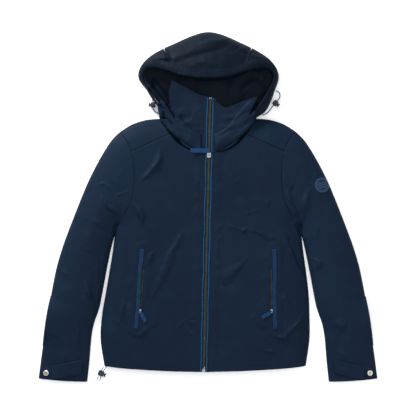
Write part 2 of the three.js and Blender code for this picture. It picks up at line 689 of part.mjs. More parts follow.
// ---------- The main zip ----------

const TAPE_Z = TOP_Z - CLOTH - SEAM - TAPE_T; // underside of the zip's tape
const TEETH_Z = TAPE_Z - (TOOTH_T - TAPE_T) / 2; // underside of the teeth
const PLATE_Z = TEETH_Z + TOOTH_T + SEAM; // underside of the slider's upper plate
const PIVOT_Z = PLATE_Z + PLATE_T + 1.9; // axis of the pull

function addZip() {
  const zip = group(ZIP_FOOT_X, HEM_Y, 0, -ZIP_LEAN);
  const pipingZ = TAPE_Z + TAPE_T + SEAM;
  const footH = { left: PIN_H, right: BOX_H };
  for (const [side, sign] of Object.entries(SIDES)) {
    const span = (near, far) => (sign > 0 ? [near, far] : [-far, -near]);
    const row = span(TOOTH_GAP, TOOTH_GAP + TOOTH_W);
    const tape = span(row[sign > 0 ? 1 : 0] * sign + SEAM, TAPE_END);
    const piping = span(PIPING_X, PIPING_X + PIPING);
    const top = ZIP_LENGTH - ZIP_TOP;
    add(`zip_tape_${side}`, box(...tape, 0, ZIP_LENGTH, TAPE_Z, TAPE_Z + TAPE_T), "tape", zip);
    const teeth = box(...row, footH[side] + SEAM, top, TEETH_Z, TEETH_Z + TOOTH_T);
    add(`zip_teeth_${side}`, teeth, "teeth", zip);
    add(`piping_${side}`, box(...piping, 0, ZIP_LENGTH, pipingZ, pipingZ + PIPING), "trim", zip);
  }
  const boxEnd = TOOTH_GAP + TOOTH_W;
  add("zip_box", box(-boxEnd, TOOTH_GAP - SEAM, 0, BOX_H, TEETH_Z, TEETH_Z + TOOTH_T), "metal", zip);
  add("zip_pin", box(TOOTH_GAP, boxEnd, 0, PIN_H, TEETH_Z, TEETH_Z + TOOTH_T), "metal", zip);
  addSlider(group(0, SLIDER_AT, 0, 0, zip));
}

function addSlider(at) {
  const [w, l] = [SLIDER_W / 2, SLIDER_L / 2];
  const post = box(-TOOTH_GAP + SEAM, TOOTH_GAP - SEAM, -2, 2, TEETH_Z - SEAM - 1, PLATE_Z + 1);
  const upper = plate(-w, w, -l, l, PLATE_Z, PLATE_T, 3);
  const lower = plate(-w, w, -l, l, TEETH_Z - SEAM - PLATE_T, PLATE_T, 3);
  const ears = [-1, 1].map((sign) => {
    const x = sign * (LINK_W / 2 + SEAM + 0.6);
    return box(x - 0.6, x + 0.6, -2, 2, PLATE_Z + PLATE_T - 0.5, PIVOT_Z + 1.4);
  });
  const across = (radius, length, sides) =>
    new THREE.CylinderGeometry(radius, radius, length, sides).rotateZ(Math.PI / 2).translate(0, 0, PIVOT_Z);
  const axle = across(0.6, LINK_W + 2 * SEAM + 1, 8);
  add("zip_slider", combined(upper, [lower, post, axle, ...ears]), "metal", at);

  const z = PIVOT_Z - LINK_T / 2;
  const arm = plate(-LINK_W / 2, LINK_W / 2, -1.4, LINK_L, z, LINK_T, 1.3);
  const eye = box(-LINK_W / 2 + 1.2, LINK_W / 2 - 1.2, LINK_L - 5, LINK_L - 1.5, z - 1, z + LINK_T + 1);
  const bore = across(0.95, LINK_W + 2, 10);
  const knuckle = across(1.35, LINK_W, 10);
  add("pull_link", combined(arm, [knuckle], [eye, bore]), "metal", at);

  const ribbonZ = z + LINK_T + SEAM;
  const middle = LINK_L - 3;
  const ribbon = plate(-RIBBON_L, 3, middle - RIBBON_W / 2, middle + RIBBON_W / 2, ribbonZ, RIBBON_T, 1.5);
  add("pull_ribbon", ribbon, "trim", at);
}

// ---------- Pockets ----------

function addPocket(side, sign) {
  const { foot, lean } = POCKETS[side];
  const at = group(sign * foot[0], foot[1], 0, sign * degToRad(lean));
  const tapeTop = TOP_Z - CLOTH - SEAM;
  const across = (near, far) => (sign > 0 ? [near, far] : [-far, -near]);
  const coil = box(-COIL_W / 2, COIL_W / 2, 0, POCKET_LENGTH, tapeTop - TAPE_T / 2, tapeTop + COIL_T - TAPE_T);
  const tape = box(-POCKET_TAPE, POCKET_TAPE, -SEAM, POCKET_LENGTH + SEAM, tapeTop - TAPE_T, tapeTop);
  add(`pocket_zip_${side}`, combined(coil, [tape]), "teeth", at);
  const weltX = across(WELT_X, WELT_X + WELT_W);
  const welt = box(...weltX, -WELT_BELOW, POCKET_LENGTH + WELT_ABOVE, TOP_Z + SEAM, TOP_Z + SEAM + WELT_T);
  add(`pocket_binding_${side}`, welt, "trim", at);
  const bagX = across(-0.8 * BAG_W, 0.2 * BAG_W);
  const bagTop = tapeTop - TAPE_T - SEAM;
  const bag = box(...bagX, -BAG_BELOW, BAG_H - BAG_BELOW, bagTop - LINING, bagTop);
  add(`pocket_bag_${side}`, bag, "lining", at);

  const slider = group(0, POCKET_SLIDER_L / 2, 0, 0, at);
  const [w, l] = [POCKET_SLIDER_W / 2, POCKET_SLIDER_L / 2];
  const sliderZ = TOP_Z + SEAM;
  const body = plate(-w, w, -l, l, sliderZ, PLATE_T, 1.5);
  const peg = disc(1, sliderZ + 0.5, PLATE_T + 1.7, 10).translate(0, -l + 1.6, 0);
  add(`pocket_slider_${side}`, combined(body, [peg]), "metal", slider);
  const pull = group(0, -l + 1.6, 0, degToRad(PULLS[side].turn), slider);
  const length = across(-PULL_L, 2.5);
  const strap = plate(...length, -PULL_W / 2, PULL_W / 2, sliderZ + PLATE_T + SEAM, RIBBON_T, 1.2);
  const hole = disc(1.3, 0, 2 * TOP_Z, 10);
  add(`pocket_pull_${side}`, combined(strap, [], [hole]), "trim", pull);
}

// ---------- Cords and their locks ----------

function addCord(name) {
  const { points, diameter } = CORDS[name];
  const path = new THREE.CatmullRomCurve3(points.map((p) => new THREE.Vector3(...p)));
  const ring = new THREE.EllipseCurve(0, 0, diameter / 2, diameter / 2).getPoints(8);
  const section = new THREE.Shape(ring.slice(0, -1));
  const steps = Math.round(path.getLength() / (2 * diameter));
  add(`${name}_cord`, new THREE.ExtrudeGeometry(section, { extrudePath: path, steps }), "cord");
}

// A barrel lock: the cord runs through it along its own Y, and the plunger presses in along X.
function addLock(name) {
  const { at, turn, length, hole } = LOCKS[name];
  const place = group(...at, LOCK_Z, degToRad(turn));
  const half = length / 2;
  const alongX = (geometry) => geometry.rotateY(Math.PI / 2);
  const barrel = turned([
    [0, -half], [LOCK_R - 1.5, -half], [LOCK_R, 1.5 - half],
    [LOCK_R, half - 1.5], [LOCK_R - 1.5, half], [0, half],
  ]);
  const bore = disc(STEM_R + SEAM, half - STEM_IN - PRESS - SEAM, half, 12);
  const [holeX, holeZ] = hole.map((size) => size + CORD_PLAY);
  const way = box(-holeX, holeX, -2 * LOCK_R, 2 * LOCK_R, -holeZ, holeZ);
  add(`${name}_lock`, combined(alongX(barrel), [], [alongX(bore), way]), "plastic", place);
  const headAt = half + PRESS + SEAM;
  const plunger = turned([
    [0, half - STEM_IN], [STEM_R, half - STEM_IN], [STEM_R, headAt], [HEAD_R, headAt],
    [HEAD_R, headAt + HEAD_L - 1], [HEAD_R - 1, headAt + HEAD_L], [0, headAt + HEAD_L],
  ]);
  add(`${name}_plunger`, alongX(plunger), "plastic", place);
}

// The loop that the jacket hangs by, sewn inside the back of the neck.
function addHanger() {
  const skin = (lift) => (u, v) => [
    mix(-HANGER_L, HANGER_L, u) / 2, BACK_NECK_Y - 8 - HANGER_W * v,
    CLOTH + SEAM + lift + HANGER_RISE * Math.sin(Math.PI * u),
  ];
  add("hanger_loop", between(skin(LINING), skin(0), spread(8), [0, 1]), "tape");
}

addFront("left", 1);
addFront("right", -1);
addBack();
addLinings();
for (const [side, sign] of Object.entries(SIDES)) {
  addSleeve(side, sign);
  addCuff(side, sign);
  addCollar(side, sign);
  addPocket(side, sign);
}
addBadge();
addHanger();
addHood();
addZip();
for (const name of Object.keys(CORDS)) {
  addCord(name);
  addLock(name);
}

export default root;
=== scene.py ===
"""A hooded foul weather jacket lying on its back, zipped to the collar, seen from straight above."""

import json
import math

import bmesh
import bpy
import numpy as np
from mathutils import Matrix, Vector, geometry, kdtree, noise
from mathutils.bvhtree import BVHTree

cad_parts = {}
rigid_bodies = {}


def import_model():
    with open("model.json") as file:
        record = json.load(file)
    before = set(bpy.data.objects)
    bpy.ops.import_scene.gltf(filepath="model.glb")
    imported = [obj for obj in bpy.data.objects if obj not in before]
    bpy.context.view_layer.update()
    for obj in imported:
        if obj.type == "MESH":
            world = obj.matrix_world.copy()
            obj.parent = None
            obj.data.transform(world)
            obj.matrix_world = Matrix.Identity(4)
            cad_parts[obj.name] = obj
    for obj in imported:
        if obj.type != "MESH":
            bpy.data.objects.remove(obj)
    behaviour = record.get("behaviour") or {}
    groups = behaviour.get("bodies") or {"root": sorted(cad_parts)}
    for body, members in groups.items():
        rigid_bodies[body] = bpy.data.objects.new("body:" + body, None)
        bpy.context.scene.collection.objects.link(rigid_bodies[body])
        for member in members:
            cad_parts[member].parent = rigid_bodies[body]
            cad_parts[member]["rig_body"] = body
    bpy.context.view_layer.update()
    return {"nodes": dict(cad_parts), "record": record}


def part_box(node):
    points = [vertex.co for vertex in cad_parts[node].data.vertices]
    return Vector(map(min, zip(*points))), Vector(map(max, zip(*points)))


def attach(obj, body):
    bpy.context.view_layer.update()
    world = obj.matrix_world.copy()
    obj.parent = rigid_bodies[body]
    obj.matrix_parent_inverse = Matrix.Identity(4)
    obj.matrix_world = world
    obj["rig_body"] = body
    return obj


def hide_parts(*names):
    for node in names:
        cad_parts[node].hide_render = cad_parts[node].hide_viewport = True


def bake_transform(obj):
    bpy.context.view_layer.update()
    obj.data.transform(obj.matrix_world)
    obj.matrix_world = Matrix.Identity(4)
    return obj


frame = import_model()
NODES = frame["nodes"]
MM = 0.001
SIDES = {"left": 1, "right": -1}

# ---------- Camera ----------

FRAME_WIDTH = 1.1232  # width of the view at the jacket
LENS, SENSOR = 85, 36
eye = bpy.data.cameras.new("camera")
eye.lens, eye.sensor_width = LENS, SENSOR
eye.clip_start, eye.clip_end = 0.1, 20
camera = bpy.data.objects.new("camera", eye)
camera.location = (0, -2.7 * MM, FRAME_WIDTH * LENS / SENSOR + 0.02)
bpy.context.scene.collection.objects.link(camera)
bpy.context.scene.camera = camera
bpy.context.scene.view_settings.view_transform = "Standard"

# ---------- Shader maths ----------


class Value:
    """A shader socket that Python's own operators work on."""

    def __init__(self, finish, socket):
        self.finish, self.socket = finish, socket

    def maths(self, operation, *values):
        return self.finish.node("ShaderNodeMath", dict(enumerate(values)), operation=operation)

    def __add__(self, other):
        return self.maths("ADD", self, other)

    def __sub__(self, other):
        return self.maths("SUBTRACT", self, other)

    def __rsub__(self, other):
        return self.maths("SUBTRACT", other, self)

    def __mul__(self, other):
        return self.maths("MULTIPLY", self, other)

    def __pow__(self, other):
        return self.maths("POWER", self, other)

    __radd__ = __add__
    __rmul__ = __mul__

    def sine(self):
        return self.maths("SINE", self)

    def rounded(self, low, high):
        """0 at low, 1 at high, and smooth between them."""
        inputs = {"Value": self, "From Min": low, "From Max": high}
        return self.finish.node("ShaderNodeMapRange", inputs, interpolation_type="SMOOTHSTEP")


class Finish:
    """A material's shader, made as Python expressions."""

    def __init__(self, name, **uniform):
        self.material = bpy.data.materials.new(name)
        self.material.use_nodes = True
        self.tree = self.material.node_tree
        self.tree.nodes.clear()
        self.surface = self.tree.nodes.new("ShaderNodeBsdfPrincipled")
        output = self.tree.nodes.new("ShaderNodeOutputMaterial")
        self.tree.links.new(self.surface.outputs[0], output.inputs[0])
        for socket, value in uniform.items():
            self.surface.inputs[socket.replace("_", " ")].default_value = value
        self.place = self.node("ShaderNodeTexCoord", out="Object")

    def node(self, kind, inputs=None, out=0, **settings):
        made = self.tree.nodes.new(kind)
        for name, value in settings.items():
            setattr(made, name, value)
        for key, value in (inputs or {}).items():
            self.plug(value, made.inputs[key])
        return Value(self, made.outputs[out])

    def plug(self, value, socket):
        if isinstance(value, Value):
            self.tree.links.new(value.socket, socket)
        else:
            socket.default_value = value

    def speckle(self, per_metre, detail=2.0, stretch=(1, 1, 1)):
        at = self.node("ShaderNodeVectorMath", {0: self.place, 1: stretch}, operation="MULTIPLY")
        return self.node("ShaderNodeTexNoise", {"Vector": at, "Scale": per_metre, "Detail": detail})

    def axes(self):
        return [self.node("ShaderNodeSeparateXYZ", {0: self.place}, out=i) for i in range(3)]

    def mixed(self, share, one, other):
        return self.node(
            "ShaderNodeMix", {0: share, 6: one, 7: other}, out=2, data_type="RGBA", clamp_factor=True
        )

    def relief(self, height, distance, strength=1.0, under=None):
        inputs = {"Height": height, "Distance": distance, "Strength": strength}
        if under:
            inputs["Normal"] = under
        return self.node("ShaderNodeBump", inputs)

    def set(self, **varying):
        for socket, value in varying.items():
            self.plug(value, self.surface.inputs[socket.replace("_", " ")])
        return self


def rgb(red, green, blue):
    """A display colour from 0 to 255 as the linear colour that a shader takes."""
    share = [c / 255 for c in (red, green, blue)]
    return (*[s / 12.92 if s <= 0.04045 else ((s + 0.055) / 1.055) ** 2.4 for s in share], 1)


def woven(name, dark, light, pitch, rough, crease=0.5, turn=0.0):
    """Woven cloth: threads that cross, a slightly uneven dye, small creases and rubbed places."""
    f = Finish(name, Specular_IOR_Level=0.05)
    x, y, _ = f.axes()
    per = 2 * math.pi / pitch
    across = x * (per * math.cos(turn)) + y * (per * math.sin(turn))
    along = y * (per * math.cos(turn)) - x * (per * math.sin(turn))
    threads = across.sine() * along.sine()
    dye = f.speckle(4.5, 3.0)
    grain = f.speckle(420, 3.0)
    rubbed = f.speckle(26, 4.0).rounded(0.5, 0.86)
    share = dye * 0.55 + grain * 0.35 + rubbed * 0.35 + threads * 0.05 - 0.22
    crumple = f.relief(f.speckle(34, 3.0), 1.6 * MM, crease)
    fine = f.relief(f.speckle(150, 3.0), 0.45 * MM, crease, crumple)
    weave = f.relief(threads * 0.5 + grain * 0.5, 0.12 * MM, 0.55, fine)
    f.set(Base_Color=f.mixed(share, dark, light), Roughness=grain * 0.2 + (rough - 0.1), Normal=weave)
    return f.material


def ribbed(name, dark, light, pitch, rough, metal=0.0):
    """Narrow woven ribbon or braid with ribs across it."""
    f = Finish(name, Specular_IOR_Level=0.1, Metallic=metal)
    x, y, z = f.axes()
    ribs = ((x * 0.6 + y + z * 0.4) * (2 * math.pi / pitch)).sine()
    cross = ((x - y * 0.6) * (2 * math.pi / (pitch * 0.8))).sine()
    worn = f.speckle(70, 4.0)
    share = ribs * 0.18 + cross * 0.12 + worn * 0.9 - 0.02
    bumps = f.relief(ribs * 0.6 + cross * 0.4, 0.2 * MM, 0.7, f.relief(worn, 0.5 * MM, 0.4))
    f.set(Base_Color=f.mixed(share, dark, light), Roughness=worn * 0.3 + (rough - 0.15), Normal=bumps)
    return f.material


def moulded(name, dark, light, rough, metal=0.0, wear=0.5, coat=0.0):
    """Moulded plastic or cast metal with fine scratches and handling marks."""
    f = Finish(name, Metallic=metal, Coat_Weight=coat, Specular_IOR_Level=0.25)
    scratches = f.speckle(260, 4.0, (1, 0.12, 1))
    handled = f.speckle(45, 4.0)
    share = handled * 0.7 + scratches * 0.5 - 0.1
    dents = f.relief(handled, 0.25 * MM, wear, f.relief(scratches, 0.08 * MM, wear))
    f.set(
        Base_Color=f.mixed(share, dark, light),
        Roughness=scratches * 0.25 + handled * 0.15 + (rough - 0.2),
        Normal=dents,
    )
    return f.material


SHELL = woven("shell cloth", rgb(8, 20, 35), rgb(17, 33, 51), 1.3 * MM, 0.6)
# The hood's cloth is the shell cloth painted darker: painted shade over the whole hood.
HOOD_SHELL_PAINTED_DARKER = woven("hood cloth painted darker", rgb(4, 12, 23), rgb(10, 21, 35), 1.3 * MM, 0.6, 0.7)
SLEEVE = woven("sleeve cloth", rgb(9, 21, 36), rgb(18, 34, 52), 1.3 * MM, 0.6, 0.5, 0.3)
LINING = woven("lining cloth", rgb(6, 12, 22), rgb(14, 24, 38), 0.9 * MM, 0.5, 0.6)
FACING = woven("collar facing", rgb(7, 16, 29), rgb(14, 27, 43), 1.1 * MM, 0.6)
TAPE = ribbed("zip tape", rgb(18, 24, 32), rgb(30, 38, 48), 1.2 * MM, 0.8)
TRIM = ribbed("blue ribbon", rgb(4, 36, 66), rgb(16, 56, 92), 1.4 * MM, 0.6)
BINDING = ribbed("blue binding", rgb(4, 26, 50), rgb(14, 44, 74), 1.6 * MM, 0.6)
PIPING = ribbed("blue piping", rgb(4, 46, 80), rgb(12, 74, 118), 1.1 * MM, 0.5)
THREAD = ribbed("thread", rgb(10, 20, 33), rgb(30, 46, 66), 0.5 * MM, 0.55)
CORD = ribbed("braided cord", rgb(6, 44, 78), rgb(24, 82, 126), 1.8 * MM, 0.65)
TEETH = moulded("zip teeth", rgb(24, 30, 28), rgb(52, 58, 48), 0.5)
METAL = moulded("nickel", rgb(92, 94, 96), rgb(156, 156, 152), 0.36, 1.0, 0.4)
PLASTIC = moulded("lock plastic", rgb(12, 19, 29), rgb(32, 42, 56), 0.45, 0.0, 0.4, 0.06)


def snap_finish(name, node):
    """A press stud: nickel rim with a brass middle, and a dark band of painted shade between them."""
    f = Finish(name, Metallic=1.0)
    low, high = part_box(node)
    middle = (low + high) / 2
    x, y, _ = f.axes()
    away = ((x - middle.x) ** 2 + (y - middle.y) ** 2) ** 0.5
    brass = 1 - away.rounded(2.6 * MM, 3.4 * MM)
    # ring is a dark grey band painted between the brass middle and the nickel rim: painted shade in the step
    # there.
    ring = away.rounded(3.2 * MM, 3.9 * MM) * (1 - away.rounded(3.9 * MM, 4.6 * MM))
    marks = f.speckle(300, 4.0)
    nickel = f.mixed(marks, rgb(150, 151, 150), rgb(222, 221, 216))
    warm = f.mixed(marks, rgb(150, 112, 48), rgb(206, 168, 92))
    shade = f.mixed(ring * 0.6, f.mixed(brass, nickel, warm), rgb(60, 60, 62))
    f.set(Base_Color=shade, Roughness=marks * 0.25 + 0.18, Normal=f.relief(marks, 0.08 * MM, 0.5))
    return f.material


# ---------- Curves and meshes ----------


def smooth_path(points, step):
    """Points every step along a smooth curve through these ones."""
    p = np.array(points, float)
    ends = np.vstack([2 * p[0] - p[1], p, 2 * p[-1] - p[-2]])
    out = []
    for a, b, c, d in zip(ends, ends[1:], ends[2:], ends[3:]):
        count = max(2, int(np.linalg.norm(c - b) / (step * 0.25)))
        t = np.linspace(0, 1, count, endpoint=False)[:, None]
        out.append(0.5 * (2 * b + (c - a) * t + (2 * a - 5 * b + 4 * c - d) * t**2
                          + (3 * b - a - 3 * c + d) * t**3))
    return evenly(np.vstack([*out, p[-1:]]), step)


def evenly(points, step):
    """The same line with points evenly step apart, ends kept."""
    p = np.array(points, float)
    lengths = np.r_[0, np.cumsum(np.linalg.norm(np.diff(p, axis=0), axis=1))]
    count = max(1, round(lengths[-1] / step))
    at = np.linspace(0, lengths[-1], count + 1)
    return np.column_stack([np.interp(at, lengths, p[:, i]) for i in range(p.shape[1])])


def make(name, points, faces, material, body=None, smooth=True):
    """A mesh object; it rides on body, unless that is None."""
    mesh = bpy.data.meshes.new(name)
    mesh.from_pydata([tuple(map(float, p)) for p in points], [], [tuple(map(int, f)) for f in faces])
    mesh.validate()
    mesh.update()
    mesh.materials.append(material)
    mesh.polygons.foreach_set("use_smooth", [smooth] * len(mesh.polygons))
    made = bpy.data.objects.new(name, mesh)
    bpy.context.scene.collection.objects.link(made)
    if body:
        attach(made, body)
    return made


def changed(obj, kind, **settings):
    """Runs a modifier on obj and keeps its result as the mesh."""
    modifier = obj.modifiers.new(kind, kind)
    for key, value in settings.items():
        setattr(modifier, key, value)
    bpy.context.view_layer.update()
    graph = bpy.context.evaluated_depsgraph_get()
    result = bpy.data.meshes.new_from_object(obj.evaluated_get(graph))
    obj.modifiers.clear()
    obj.data = result
    return obj


def vertices(obj):
    co = np.zeros(len(obj.data.vertices) * 3)
    obj.data.vertices.foreach_get("co", co)
    return co.reshape(-1, 3)


def put(obj, points):
    obj.data.vertices.foreach_set("co", np.asarray(points, float).ravel())
    obj.data.update()


def bare(node):
    """A CAD node's mesh with its shared corners merged."""
    bm = bmesh.new()
    bm.from_mesh(NODES[node].data)
    bmesh.ops.remove_doubles(bm, verts=bm.verts, dist=1e-5)
    bm.normal_update()
    return bm


def corners(node):
    bm = bare(node)
    points = np.array([v.co for v in bm.verts])
    bm.free()
    return points


def spine(node):
    """The middles of a long straight node's two ends, from the hem upwards."""
    p = corners(node)
    middle = p.mean(0)
    axis = np.linalg.svd(p - middle)[2][0]
    t = (p - middle) @ axis
    ends = [p[t < t.min() + 0.2 * MM].mean(0), p[t > t.max() - 0.2 * MM].mean(0)]
    return sorted(ends, key=lambda e: e[1])


SPIKE = 2.2  # an outline never turns back as sharply as this


def top_outlines(node):
    """The closed outlines of a node's upper skin, longest first, without specks."""
    bm = bare(node)
    above = [f for f in bm.faces if f.normal.z > 0.05]
    uses = set()
    for f in above:
        uses |= {(loop.vert.index, loop.link_loop_next.vert.index) for loop in f.loops}
    following = {}
    for a, b in sorted(uses):
        if (b, a) not in uses:
            following.setdefault(a, []).append(b)
    points = np.array([v.co for v in bm.verts])
    bm.free()

    def turn(before, here, ahead):
        one, two = (points[here] - points[before])[:2], (points[ahead] - points[here])[:2]
        return abs(math.atan2(one[0] * two[1] - one[1] * two[0], one @ two))

    found = []
    while following:
        start = min(following)
        chain, here = [start], following[start][0]
        following[start].remove(here)
        while here != start and following.get(here):
            ahead = min(following[here], key=lambda b: turn(chain[-1], here, b))
            following[here].remove(ahead)
            chain.append(here)
            here = ahead
        following = {a: left for a, left in following.items() if left}
        ends = zip(chain[-1:] + chain[:-1], chain, chain[1:] + chain[:1])
        found.append(points[[b for a, b, c in ends if turn(a, b, c) < SPIKE]])
    round_it = lambda loop: np.linalg.norm(np.diff(loop[:, :2], axis=0), axis=1).sum()
    return sorted((loop for loop in found if round_it(loop) > 100 * MM), key=round_it, reverse=True)


CORNER = math.radians(32)  # a sharper turn than this is a corner of the cloth


def smooth_loop(loop, step):
    """A closed outline smoothed between its corners and resampled."""
    before, after = loop - np.roll(loop, 1, 0), np.roll(loop, -1, 0) - loop
    turn = np.abs(np.arctan2(
        before[:, 0] * after[:, 1] - before[:, 1] * after[:, 0], (before[:, :2] * after[:, :2]).sum(1)))
    sharp = np.flatnonzero(turn > CORNER)
    if len(sharp) < 2:
        sharp = np.array([0, len(loop) // 2])
    runs = []
    for a, b in zip(sharp, np.r_[sharp[1:], sharp[0] + len(loop)]):
        run = loop[np.arange(a, b + 1) % len(loop)]
        runs.append((smooth_path(run, step) if len(run) > 2 else evenly(run, step))[:-1])
    found = np.vstack(runs)
    apart = np.linalg.norm(found - np.roll(found, 1, 0), axis=1) > 0.3 * MM
    return found[apart]


def tree_of(points):
    tree = kdtree.KDTree(len(points))
    for i, p in enumerate(points):
        tree.insert((p[0], p[1], 0), i)
    tree.balance()
    return tree


def nearest(tree, points):
    return np.array([tree.find((p[0], p[1], 0))[2] for p in points])


def inside(points, loops):
    """True for the points that lie inside the outlines."""
    result = np.zeros(len(points), bool)
    x, y = points[:, 0], points[:, 1]
    for loop in loops:
        for a, b in zip(loop, np.roll(loop, -1, 0)):
            if a[1] == b[1]:
                continue
            crosses = (a[1] > y) != (b[1] > y)
            at = (b[0] - a[0]) * (y[crosses] - a[1]) / (b[1] - a[1]) + a[0]
            result[np.flatnonzero(crosses)[x[crosses] < at]] ^= True
    return result


RINGS = (1.0 * MM, 2.4 * MM, 4.4 * MM)  # rows of points that follow an outline inside it


def filled(loops, spacing):
    """A fine flat mesh inside closed outlines: its points and triangles."""
    edge = np.vstack([evenly(np.vstack([loop, loop[:1]]), 1 * MM)[:, :2] for loop in loops])
    tree = tree_of(edge)
    points, edges = [], []
    for loop in loops:
        base = len(points)
        points += [tuple(p[:2]) for p in loop]
        edges += [(base + i, base + (i + 1) % len(loop)) for i in range(len(loop))]
    rows = []
    for loop in loops:
        along = np.roll(loop, -1, 0)[:, :2] - np.roll(loop, 1, 0)[:, :2]
        normal = np.column_stack([-along[:, 1], along[:, 0]]) / np.linalg.norm(along, axis=1)[:, None]
        for ring in RINGS:
            ringed = loop[:, :2] + normal * ring
            rows.append(ringed[nearest(tree, ringed) > 0.86 * ring])
    low, high = edge.min(0), edge.max(0)
    ys = np.arange(low[1], high[1], spacing * 0.866)
    xs = np.arange(low[0], high[0] + spacing, spacing)
    grid = np.array([(x + (j % 2) * spacing / 2, y) for j, y in enumerate(ys) for x in xs])
    grid = grid[inside(grid, loops)]
    grid = grid[nearest(tree, grid) > RINGS[-1] + spacing * 0.6]
    points += [tuple(p) for p in np.vstack([*rows, grid])]
    made = geometry.delaunay_2d_cdt([Vector(p) for p in points], edges, [], 0, 1e-7)
    flat, faces = np.array([v[:] for v in made[0]]), np.array([tuple(f) for f in made[2]])
    faces = faces[inside(flat[faces].mean(1), loops)]
    return flat, faces


# ---------- How the cloth lies ----------

EDGE_Z, LOFT, ROLL = 1.55 * MM, 30 * MM, 75 * MM
TAPER_FROM, TAPER_TO, TAPER = -0.23, -0.46, 0.35
SHELL_NODES = [f"{part}_{side}" for part in ("front_panel", "front_yoke", "sleeve_upper") for side in SIDES]
OUTLINES = {node: [smooth_loop(loop, 3 * MM) for loop in top_outlines(node)] for node in SHELL_NODES}


def silhouette():
    """Points a millimetre apart along the jacket's outer edges, where the upper cloth meets the lower."""
    points = []
    for loops in OUTLINES.values():
        loop = loops[0]
        for a, b in zip(loop, np.roll(loop, -1, 0)):
            if max(a[2], b[2]) < EDGE_Z + 0.1 * MM:
                points.append(evenly([a, b], 1 * MM))
    return tree_of(np.vstack(points))


OUTER_EDGE = silhouette()


def smoothstep(value, low, high):
    t = np.clip((value - low) / (high - low), 0, 1)
    return t * t * (3 - 2 * t)


def ragged(points, per_metre, octaves=3, seed=0.0, stretch=(1, 1)):
    """Smooth noise from about -1 to 1 at each point."""
    return np.array([
        noise.fractal((p[0] * per_metre * stretch[0], p[1] * per_metre * stretch[1], seed), 1.0, 2.0, octaves)
        for p in points
    ])


def from_line(points, path):
    """Each point's distance from a line, the side that it is on, and how far along it is."""
    best = np.full(len(points), 9.0)
    side = np.ones(len(points))
    along = np.zeros(len(points))
    steps = np.r_[0, np.cumsum(np.linalg.norm(np.diff(path, axis=0), axis=1))]
    for i, (a, b) in enumerate(zip(path, path[1:])):
        d = b - a
        t = np.clip(((points - a) @ d) / (d @ d), 0, 1)
        off = points - a - t[:, None] * d
        away = np.linalg.norm(off, axis=1)
        closer = away < best
        best[closer] = away[closer]
        side[closer] = np.sign(d[0] * off[closer, 1] - d[1] * off[closer, 0])
        along[closer] = (steps[i] + t[closer] * np.linalg.norm(d)) / steps[-1]
    return best, side, along


